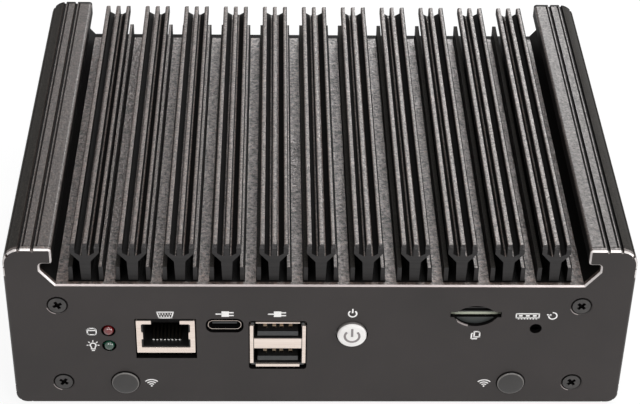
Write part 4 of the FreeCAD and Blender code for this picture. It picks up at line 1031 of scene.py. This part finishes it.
@dataclass
class StackedUsb:
    """Two full-size sockets in one sheet shell, whose lips end short of its corners."""

    corner: Pair = (1.6 * MM, 1.25 * MM)
    corner_depth: float = 2.4 * MM
    corner_rise: float = 0.35 * MM
    lip: float = 0.95 * MM
    seam: float = 0.18 * MM
    seam_depth: float = 0.5 * MM
    seam_spare: float = 0.4 * MM
    mouth: float = 5.4 * MM
    mouth_drop: float = 0.25 * MM
    floor: float = 1.2 * MM
    pitch: float = 8.85 * MM
    tongue_setback: float = 0.8 * MM
    dark_end: float = 0.5 * MM
    level: float = 0.5
    contact_edge: float = 0.04 * MM
    edge: float = 0.1 * MM

    def cutter(self, low: Vector, high: Vector) -> Piece:
        """Model a box for each corner of the shell and for the seams beside its middle wall.

        Args:
            low: Lowest corner of the shell.
            high: Its highest corner.

        Returns:
            The boxes as one cutter.
        """
        top = low.z + self.floor + self.pitch + self.mouth + self.corner_rise
        middle = low.z + self.floor + (self.mouth + self.pitch) / 2
        corner = Vector((self.corner[0], self.corner_depth, self.corner[1])) * 2
        seam = Vector((self.seam, 2 * self.seam_depth, self.pitch - self.mouth + self.seam_spare))
        boxes = []
        for x, inward in ((low.x, 1), (high.x, -1)):
            boxes += [(Vector((x, low.y, z)), corner) for z in (low.z, top)]
            boxes.append((Vector((x + inward * (self.lip + self.seam / 2), low.y, middle)), seam))
        tool = Piece("usb_cutter", bpy.data.meshes.new("usb_cutter"), NYLON)
        with tool.editing():
            for place, size in boxes:
                bpy.ops.mesh.select_all(action="DESELECT")
                bpy.ops.mesh.primitive_cube_add(size=1, location=place)
                bpy.ops.transform.resize(value=size, center_override=place)
        return tool

    def shell(self, low: Vector, high: Vector) -> None:
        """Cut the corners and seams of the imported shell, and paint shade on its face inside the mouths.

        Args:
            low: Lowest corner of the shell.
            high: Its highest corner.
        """
        shell = Refined("usb_a_shell", PLATED, PAINTED_SHADE)
        tool = self.cutter(low, high)
        shell.modify("BOOLEAN", object=tool.obj, operation="DIFFERENCE", solver="EXACT")
        bpy.data.objects.remove(tool.obj)
        left, right = low.x + self.lip, high.x - self.lip
        foot = low.z + self.floor
        upper = foot + self.pitch
        mouths = [(foot - self.mouth_drop, foot + self.mouth), (upper, upper + self.mouth)]
        shell.split(faces_front, plane(X, left), plane(X, right),
                    *(plane(Z, z) for mouth in mouths for z in mouth))
        # Painted shade on the inner strips of the lips, around the mouths
        shell.paint(PAINTED_SHADE, lambda centre, normal: faces_front(centre, normal) and left < centre.x < right
                    and any(mouth[0] < centre.z < mouth[1] for mouth in mouths))
        shell.done(self.edge)

    def build(self) -> None:
        """Make the shell, and refine the insulator, with painted light on the tongue's front, and the
        contacts that it holds, with painted shade on their front ends.
        """
        low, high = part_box("usb_a_shell")
        self.shell(low, high)
        insulator = Refined("usb_a_insulator", NYLON, LIT_TONGUE)
        tip = low.y + self.tongue_setback
        insulator.paint(LIT_TONGUE, lambda centre, normal: faces_front(centre, normal) and centre.y < tip)
        insulator.done(self.edge)
        contacts = Refined("usb_a_contacts", GOLD, SHADED_CONTACT)
        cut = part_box("usb_a_contacts")[0].y + self.dark_end
        contacts.split(lambda centre, normal: abs(normal.z) > self.level, plane(Y, cut))
        contacts.paint(SHADED_CONTACT, lambda centre, normal: centre.y < cut)
        contacts.done(self.contact_edge)


@dataclass
class SmallSockets:
    """Small USB, video and power sockets, and the contacts of the network-type ones."""

    edge: float = 0.08 * MM
    ring_edge: float = 0.1 * MM
    ring_tilt: float = 0.95
    contact_edge: float = 0.04 * MM
    tip_tilt: float = 0.5
    tip_near: float = 0.1 * MM
    tip_size: Pair = (1.3, 1.8)
    tip_drop: float = 0.15 * MM
    tip_reach: float = 0.7 * MM

    def at_tip(self, centre: Vector, normal: Vector) -> bool:
        """Tell whether a face is the outer end of a contact."""
        return faces_out(centre, normal, self.tip_tilt)

    def bright_tips(self, node: str) -> None:
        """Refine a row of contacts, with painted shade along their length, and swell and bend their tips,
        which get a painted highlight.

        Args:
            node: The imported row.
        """
        row = Refined(node, SHADED_CONTACT, TIP_HIGHLIGHT)
        row.paint(TIP_HIGHLIGHT, self.at_tip)
        swell = (self.tip_size[0], 1, self.tip_size[1])
        faces = row.obj.data.polygons
        for place in [face.center.copy() for face in faces if self.at_tip(face.center, face.normal)]:
            with row.editing():
                row.pick_faces(lambda centre, normal: self.at_tip(centre, normal)
                               and (centre - place).length < self.tip_near)
                bpy.ops.transform.resize(value=swell, center_override=place)
                outward = math.copysign(self.tip_reach, place.y)
                bpy.ops.transform.translate(value=(0, outward, -self.tip_drop))
        row.done(self.contact_edge)

    def build(self) -> None:
        """Refine every shell, insulator and contact."""
        ring = Refined("usb_c_shell", PLATED, PAINTED_SHADE)
        ring.soften(self.ring_edge)
        # Painted shade on every face of the ring but its front lip
        ring.paint(PAINTED_SHADE, lambda centre, normal: normal.y >= -self.ring_tilt)
        ring.settle("usb_c_shell")
        tongue = Refined("usb_c_insulator", NYLON, LIT_TONGUE)
        # Painted light on the tongue's front faces
        tongue.paint(LIT_TONGUE, faces_front)
        tongue.done(self.edge)
        Refined("video_socket_shell", PLATED).done(self.edge)
        for node in ("video_socket_insulator", "power_inlet_body"):
            Refined(node, NYLON).done(self.edge)
        Refined("power_inlet_pin", GOLD).done(self.contact_edge)
        for node in ("com_jack_contacts", "lan_jack_contacts"):
            self.bright_tips(node)


# Controls

@dataclass
class FrontControls:
    """Power button, lamps, clear-memory pin and the plugs of the antenna holes."""

    button_edge: float = 0.3 * MM
    button_set: float = 0.04 * MM
    side_tilt: float = 0.5
    lamp_edge: float = 0.08 * MM
    plug_radius: float = 4.1 * MM
    plug_profile: tuple[Pair, ...] = ((3.8, 0.02), (3.78, 0.36), (3.68, 0.54), (3.45, 0.66), (2.9, 0.76),
                                       (2.1, 0.83), (1.2, 0.87), (0.4, 0.89))
    plug_edge: float = 0.03 * MM
    plug_sharp: float = 50
    plug_gap: float = 0.2 * MM
    shoulder: Pair = (0.3, 0.93)
    level: float = 0.01 * MM
    near: float = 0.05 * MM

    def button(self) -> None:
        """Refine the button, with its face set back under the printed symbol and its side in shade."""
        cap = Refined("power_button", IVORY, SHADED_IVORY)
        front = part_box("power_button")[0].y + self.button_set
        with cap.editing():
            cap.pick_faces(lambda centre, normal: faces_front(centre, normal) and centre.y < front)
            bpy.ops.transform.translate(value=(0, self.button_set, 0))
        cap.paint(SHADED_IVORY, lambda centre, normal: abs(normal.y) < self.side_tilt)
        cap.done(self.button_edge, 3, body="power_button")

    def plug(self, side: str) -> None:
        """Draw a flat cap with a rounded edge out of a plug's flange, with a painted highlight on its
        shoulder, inside a ring of painted shade.

        Args:
            side: Which of the two plugs.
        """
        plug = Refined(f"antenna_plug_{side}", PLUG, PAINTED_SHADE, PLUG_HIGHLIGHT)
        low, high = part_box(plug.node)
        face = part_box("front_panel")[0].y
        middle = Vector(((low.x + high.x) / 2, face, (low.z + high.z) / 2))
        with plug.editing():
            plug.pick_faces(lambda centre, normal: centre.y < face - self.level)
            bpy.ops.mesh.delete(type="FACE")
        with plug.editing("EDGE"):
            plug.pick_edges(lambda end: abs(end.y - face) < self.level
                            and abs((end - middle).length - self.plug_radius) < self.near)
            radius, depth = self.plug_radius / MM, 0.0
            for next_radius, next_depth in self.plug_profile:
                step = (0, (depth - next_depth) * MM, 0)
                bpy.ops.mesh.extrude_region_move(TRANSFORM_OT_translate={"value": step})
                share = next_radius / radius
                bpy.ops.transform.resize(value=(share, 1, share), center_override=middle)
                radius, depth = next_radius, next_depth
            bpy.ops.mesh.edge_face_add()
            bpy.ops.mesh.select_all(action="SELECT")
            bpy.ops.mesh.normals_make_consistent(inside=False)
        # Painted highlight on the rounded shoulder, painted shade in the ring at its base
        plug.paint(PLUG_HIGHLIGHT, lambda centre, normal: self.shoulder[0] < -normal.y < self.shoulder[1])
        plug.paint(PAINTED_SHADE, lambda centre, normal: centre.y > face - self.plug_gap)
        plug.done(self.plug_edge, 1, self.plug_sharp)

    def build(self) -> None:
        """Refine each control."""
        self.button()
        Refined("reset_plunger", NYLON).done(self.lamp_edge, body="reset_plunger")
        Refined("lamp_red", RED_LAMP).done(self.lamp_edge, 3)
        Refined("lamp_green", GREEN_LAMP).done(self.lamp_edge, 3)
        for side in ("left", "right"):
            self.plug(side)


@dataclass
class MainBoard:
    """Main board, whose upper front edge is bare where the card slot shows it."""

    bare: float = 0.85 * MM
    edge: float = 0.04 * MM

    def build(self) -> None:
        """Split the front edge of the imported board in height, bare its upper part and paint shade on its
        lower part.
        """
        board = Refined("main_board", BOARD, BARE_EDGE, PAINTED_SHADE)
        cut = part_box("main_board")[1].z - self.bare
        board.split(faces_front, plane(Z, cut))
        # Painted shade on the front edge below the bare strip
        board.paint(PAINTED_SHADE, faces_front)
        board.paint(BARE_EDGE, lambda centre, normal: faces_front(centre, normal) and centre.z > cut)
        board.done(self.edge, 1)


# Printed signs

class Pen(Piece):
    """Draws a sign in flat strokes, in millimetres, then lifts it and puts it on an upright face."""

    lift = 0.02 * MM
    disc_sides = 20
    ring_sides = 48
    same = 0.0001 * MM

    def __init__(self, name: str, stroke: float, ink: Finish = WHITE_INK) -> None:
        """Start an empty sign.

        Args:
            name: Name of the sign.
            stroke: Usual width of its lines.
            ink: Its finish.
        """
        super().__init__(name, bpy.data.meshes.new(name), ink)
        self.stroke = stroke

    def bar(self, start: Pair, end: Pair, width: float | None = None) -> None:
        """Draw a straight stroke between two points.

        Args:
            start: One end.
            end: The other end.
            width: Its width, if it isn't the usual one.
        """
        first, second = Vector((*start, 0.0)) * MM, Vector((*end, 0.0)) * MM
        middle, run = (first + second) / 2, second - first
        size = (run.length, (width or self.stroke) * MM, 1)
        slope = math.atan2(run.y, run.x)
        with self.editing():
            bpy.ops.mesh.select_all(action="DESELECT")
            bpy.ops.mesh.primitive_plane_add(size=1, location=middle)
            bpy.ops.transform.resize(value=size, center_override=middle)
            bpy.ops.transform.rotate(value=-slope, orient_axis="Z", center_override=middle)

    def disc(self, centre: Pair, radius: float) -> None:
        """Draw a filled disc.

        Args:
            centre: Its middle.
            radius: Its radius.
        """
        with self.editing():
            bpy.ops.mesh.select_all(action="DESELECT")
            bpy.ops.mesh.primitive_circle_add(vertices=self.disc_sides, radius=radius * MM, fill_type="NGON",
                                              location=Vector((*centre, 0.0)) * MM)

    def ring(self, centre: Pair, radius: float, span: Pair) -> None:
        """Draw the part of a ring between two angles.

        Args:
            centre: Its middle.
            radius: Its outer radius.
            span: First and last angle in degrees, counter-clockwise from the right.
        """
        middle = Vector((*centre, 0.0)) * MM
        old = [face.center.copy() for face in self.obj.data.polygons]

        def outside(place: Vector, normal: Vector) -> bool:
            """Tell whether a face of the new ring lies outside the two angles.

            Args:
                place: Centre of the face.
                normal: Its normal, not used.

            Returns:
                Whether it does.
            """
            angle = math.degrees(math.atan2(place.y - middle.y, place.x - middle.x)) % 360
            kept = any(span[0] <= angle + turn <= span[1] for turn in (0, 360))
            return not kept and all((known - place).length > self.same for known in old)

        with self.editing():
            bpy.ops.mesh.select_all(action="DESELECT")
            bpy.ops.mesh.primitive_circle_add(vertices=self.ring_sides, radius=radius * MM, fill_type="NGON",
                                              location=middle)
            bpy.ops.mesh.inset(thickness=self.stroke * MM)
            bpy.ops.mesh.delete(type="FACE")
            self.pick_faces(outside)
            bpy.ops.mesh.delete(type="FACE")

    def line(self, *points: Pair) -> None:
        """Draw straight strokes from point to point."""
        for start, end in zip(points, points[1:]):
            self.bar(start, end)

    def outline(self, *corners: Pair) -> None:
        """Draw a closed line through corners, with its joints filled.

        Args:
            corners: The corners.
        """
        for number, corner in enumerate(corners):
            self.bar(corners[number - 1], corner)
            self.disc(corner, self.stroke / 2)

    def place(self, x: float, y: float, z: float, body: str = CASE) -> None:
        """Lift the sign off its face and let it ride on a body.

        Args:
            x: Place of its middle across.
            y: The face that it is printed on.
            z: Height of its middle.
            body: The body that it moves with.
        """
        self.modify("SOLIDIFY", thickness=self.lift, offset=1)
        self.obj.rotation_euler.x = math.pi / 2
        self.obj.location = (x, y, z)
        self.apply_place()
        self.settle(body=body)

    def again(self, name: str, shift: float) -> None:
        """Print the finished sign once more.

        Args:
            name: Name of the second sign.
            shift: How far to the right it is.
        """
        second = Piece(name, self.obj.data.copy(), WHITE_INK)
        second.obj.location.x = shift * MM
        second.apply_place()
        second.settle()


@dataclass
class Signs:
    """Generic signs printed beside the controls and sockets, in millimetres."""

    stroke: float = 0.36
    power_height: float = 34.85
    wireless_place: Pair = (-46.3, 9.85)
    wireless_pitch: float = 92.35
    plug_place: Pair = (-25.6, 34.65)
    plug_pitch: float = 14.1
    serial_place: Pair = (-41.75, 34.3)
    card_place: Pair = (42.45, 27.35)
    memory_place: Pair = (58.7, 34.25)
    disk_place: Pair = (-61.8, 28.45)
    bulb_place: Pair = (-61.7, 23.35)
    bulb_rise: float = 0.2

    def __post_init__(self) -> None:
        """Find the face that the signs are printed on."""
        self.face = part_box("front_panel")[0].y

    def put(self, pen: Pen, place: Pair) -> None:
        """Print a sign on the front panel."""
        pen.place(place[0] * MM, self.face, place[1] * MM)

    def power(self) -> None:
        """Draw a ring with a bar, above the button and, larger and grey, on it."""
        low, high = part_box("power_button")
        middle = (low + high) / 2
        above = Pen("power_sign", 0.42)
        above.ring((0, 0), 1.3, (126, 414))
        above.bar((0, 0.2), (0, 1.7))
        above.place(middle.x, self.face, self.power_height * MM)
        symbol = Pen("button_symbol", 0.64, GREY_INK)
        symbol.ring((0, 0), 2.3, (133, 407))
        symbol.bar((0, -0.2), (0, 2.6))
        symbol.place(middle.x, low.y + 2 * Pen.lift, middle.z, "power_button")

    def wireless(self) -> None:
        """Draw a dot under three arcs, beside both antenna holes."""
        pen = Pen("wireless_sign_left", self.stroke)
        pen.disc((0, -1.1), 0.26)
        for radius in (1.05, 1.8, 2.6):
            pen.ring((0, -1.2), radius, (45, 135))
        self.put(pen, self.wireless_place)
        pen.again("wireless_sign_right", self.wireless_pitch)

    def plug(self) -> None:
        """Draw a plain cable plug, above both kinds of USB socket."""
        pen = Pen("plug_sign_small", 0.4)
        pen.bar((-2.6, 0), (-0.9, 0))
        pen.bar((-1.0, 0), (1.0, 0), 1.9)
        for height in (-0.5, 0.5):
            pen.bar((1.0, height), (2.3, height))
        self.put(pen, self.plug_place)
        pen.again("plug_sign_stacked", self.plug_pitch)

    def serial(self) -> None:
        """Draw the outline of a serial connector with its contacts."""
        pen = Pen("serial_sign", 0.34)
        pen.outline((-2.2, 1.0), (-1.65, -1.0), (1.65, -1.0), (2.2, 1.0))
        for height, count in ((0.35, 5), (-0.4, 4)):
            for number in range(count):
                pen.disc(((number - (count - 1) / 2) * 0.72, height), 0.21)
        self.put(pen, self.serial_place)

    def cards(self) -> None:
        """Draw two small cards, one in front of the other."""
        pen = Pen("card_sign", 0.42)
        pen.outline((-0.35, 1.3), (0.75, 1.3), (1.15, 0.85), (1.15, -0.6), (-0.35, -0.6))
        pen.line((-0.75, 0.8), (-1.05, 0.5), (-1.05, -1.25), (0.55, -1.25))
        self.put(pen, self.card_place)

    def clear_memory(self) -> None:
        """Draw a memory module and a turning arrow, over the clear-memory hole."""
        pen = Pen("clear_memory_sign", self.stroke)
        pen.outline((-5.6, 0.7), (0.6, 0.7), (0.6, -0.7), (-5.6, -0.7))
        for number in range(7):
            x = -4.9 + 0.8 * number
            pen.bar((x, -0.6), (x, -1.25), 0.42)
        for x in (-4.4, -2.5, -0.6):
            pen.bar((x - 0.5, 0), (x + 0.5, 0), 0.55)
        pen.ring((4.3, 0), 1.3, (170, 460))
        pen.bar((2.75, 0.5), (3.35, 0.05), 0.45)
        pen.bar((3.2, 0.05), (3.9, 0.45), 0.45)
        self.put(pen, self.memory_place)

    def disk(self) -> None:
        """Draw a disk drive, beside the upper lamp."""
        pen = Pen("disk_sign", self.stroke)
        pen.outline((-1.2, 0.7), (-0.75, 1.1), (0.75, 1.1), (1.2, 0.7),
                    (1.2, -0.75), (0.75, -1.15), (-0.75, -1.15), (-1.2, -0.75))
        pen.line((-1.2, 0.7), (-0.75, 0.35), (0.75, 0.35), (1.2, 0.7))
        self.put(pen, self.disk_place)

    def bulb(self) -> None:
        """Draw a lit bulb, beside the lower lamp."""
        pen = Pen("bulb_sign", self.stroke)
        pen.ring((0, self.bulb_rise), 0.95, (310, 590))
        for side in (-1, 1):
            pen.bar((side * 0.5, -0.45), (side * 0.5, -1.0))
        pen.bar((-0.65, -1.1), (0.65, -1.1))
        pen.bar((-0.4, -1.65), (0.4, -1.65))
        for angle in (0, 45, 90, 135, 180):
            along = Vector((math.cos(math.radians(angle)), math.sin(math.radians(angle))))
            start, end = (tuple(along * reach + Vector((0, self.bulb_rise))) for reach in (1.2, 1.75))
            pen.bar(start, end, 0.32)
        self.put(pen, self.bulb_place)

    def build(self) -> None:
        """Print every sign."""
        for sign in (self.power, self.wireless, self.plug, self.serial, self.cards, self.clear_memory,
                     self.disk, self.bulb):
            sign()


# Studio

@dataclass(frozen=True)
class View:
    """Where the camera stands and how it looks at the part."""

    place: tuple[float, float, float] = (-12.7 * MM, -433.65 * MM, 342.09 * MM)
    yaw: float = 0.03241
    pitch: float = 0.63174
    roll: float = 0.0227
    focal_pixels: float = 1777.09
    sensor: float = 36.0
    clip: Pair = (0.01, 20.0)

    def build(self) -> None:
        """Set the camera up."""
        data = bpy.data.cameras.new("camera")
        data.sensor_width = self.sensor
        data.lens = self.focal_pixels / IMAGE_WIDTH * self.sensor
        data.clip_start, data.clip_end = self.clip
        camera = bpy.data.objects.new("camera", data)
        bpy.context.scene.collection.objects.link(camera)
        ahead = Vector((math.sin(self.yaw) * math.cos(self.pitch), math.cos(self.yaw) * math.cos(self.pitch),
                        -math.sin(self.pitch)))
        level = Vector((math.cos(self.yaw), -math.sin(self.yaw), 0.0))
        right = level * math.cos(self.roll) + level.cross(ahead) * math.sin(self.roll)
        turn = Matrix((right, right.cross(ahead), -ahead)).transposed().to_4x4()
        camera.matrix_world = Matrix.Translation(self.place) @ turn
        bpy.context.scene.camera = camera


@dataclass(frozen=True)
class Softbox:
    """One soft lamp of the studio."""

    name: str
    place: tuple[float, float, float]
    size: Pair
    power: float

    def build(self) -> None:
        """Hang the lamp so that it faces the part."""
        data = bpy.data.lights.new(self.name, "AREA")
        data.shape = "RECTANGLE"
        data.size, data.size_y = self.size
        data.energy = self.power
        lamp = bpy.data.objects.new(self.name, data)
        bpy.context.scene.collection.objects.link(lamp)
        lamp.location = self.place
        lamp.rotation_euler = (-Vector(self.place)).to_track_quat("-Z", "Y").to_euler()


@dataclass
class Studio:
    """White sweep, surrounding light and softboxes."""

    floor_size: float = 6.0
    floor_white: float = 0.9
    floor_glow: float = 0.9
    ambient: float = 0.16
    lamps: tuple[Softbox, ...] = (
        Softbox("top_softbox", (0.25, 0.1, 1.2), (0.6, 0.9), 8.0),
        Softbox("rear_softbox", (0.19, 1.1, 0.78), (0.46, 0.78), 12.5),
        Softbox("edge_softbox", (0.75, 1.0, 0.25), (0.4, 0.4), 2.5),
        Softbox("front_left_softbox", (-0.5, -0.95, 1.05), (0.35, 0.5), 6.0),
        Softbox("front_right_softbox", (0.45, -0.95, 1.05), (0.35, 0.5), 6.0),
        Softbox("side_softbox", (1.1, -0.55, 0.35), (0.3, 0.3), 5.0),
    )

    def seen(self, net: Net) -> Socket:
        """Tell the rays that see the studio as plain white from those that light the part.

        Args:
            net: The net of the material or world.

        Returns:
            One for a ray that sees it, or else nought.
        """
        path = net.add("ShaderNodeLightPath").outputs
        seen = net.math("MAXIMUM", path["Is Camera Ray"], path["Is Glossy Ray"])
        return net.math("MAXIMUM", seen, path["Is Transmission Ray"])

    def world(self) -> None:
        """Surround the part with white to look at and softer light to stand in."""
        world = bpy.data.worlds.new("studio")
        bpy.context.scene.world = world
        net = Net.fresh(world)
        soft, white = (net.add("ShaderNodeBackground", {"Color": (1, 1, 1, 1), "Strength": strength})
                       for strength in (self.ambient, 1.0))
        both = net.add("ShaderNodeMixShader", {0: self.seen(net), 1: soft.outputs[0], 2: white.outputs[0]})
        net.add("ShaderNodeOutputWorld", {"Surface": both.outputs[0]})

    def floor(self) -> None:
        """Lay the pale floor, which keeps a faint shadow."""
        bpy.ops.object.select_all(action="DESELECT")
        bpy.ops.mesh.primitive_plane_add(size=self.floor_size)
        floor = bpy.context.object
        floor.name = "floor"
        material = bpy.data.materials.new("white_floor")
        net = Net.fresh(material)
        paper = net.add("ShaderNodeBsdfDiffuse", {"Color": (*[self.floor_white] * 3, 1)}).outputs[0]
        glow = net.add("ShaderNodeEmission", {"Strength": 1.0}).outputs[0]
        share = net.math("MULTIPLY", self.seen(net), self.floor_glow)
        both = net.add("ShaderNodeMixShader", {0: share, 1: paper, 2: glow})
        net.add("ShaderNodeOutputMaterial", {"Surface": both.outputs[0]})
        floor.data.materials.append(material)

    def build(self) -> None:
        """Set the whole studio up."""
        self.world()
        self.floor()
        for lamp in self.lamps:
            lamp.build()
        bpy.context.scene.view_settings.view_transform = "Standard"


INNER_NODES = {
    "board_screws": OXIDE, "board_standoffs": GOLD, "card_reader_base": NYLON, "card_reader_shell": OXIDE,
    "coin_cell": CAN, "coin_cell_holder": NYLON, "drive_module": BOARD, "drive_screw": OXIDE,
    "drive_socket": NYLON, "drive_standoff": GOLD, "heat_spreader": COPPER, "lamp_block": NYLON,
    "memory_module": BOARD, "memory_socket": NYLON, "network_chips": CHIP, "power_capacitors": CAN,
    "power_inductors": CHIP, "power_switch": NYLON, "processor": CHIP, "reset_switch": NYLON,
}


def main() -> None:
    """Build the pieces in order, then the studio."""
    logging.basicConfig(level=logging.INFO, format="%(message)s")
    HeatsinkShell().build()
    EndPanel("front_panel", "satin_front_panel", MILLED, BLASTED, RIM_HIGHLIGHT).build()
    # The rear panel's rim, top and hook bevels aren't bare, and get painted shade
    EndPanel("rear_panel", "satin_rear_panel", PAINTED_SHADE, PAINTED_SHADE, PAINTED_SHADE).build()
    Underside().build()
    for node, axis in (("front_panel_screws", Y), ("rear_panel_screws", Y), ("bottom_cover_screws", Z)):
        CaseScrews(node, axis).build()
    for jack in ("com_jack", *(f"lan_jack_{number}" for number in range(1, 5))):
        NetworkJack(jack).build()
    StackedUsb().build()
    SmallSockets().build()
    FrontControls().build()
    MainBoard().build()
    Signs().build()
    for node, finish in INNER_NODES.items():
        dress(frame["nodes"][node].data, finish)
    Studio().build()
    View().build()


if __name__ == "__main__":
    main()
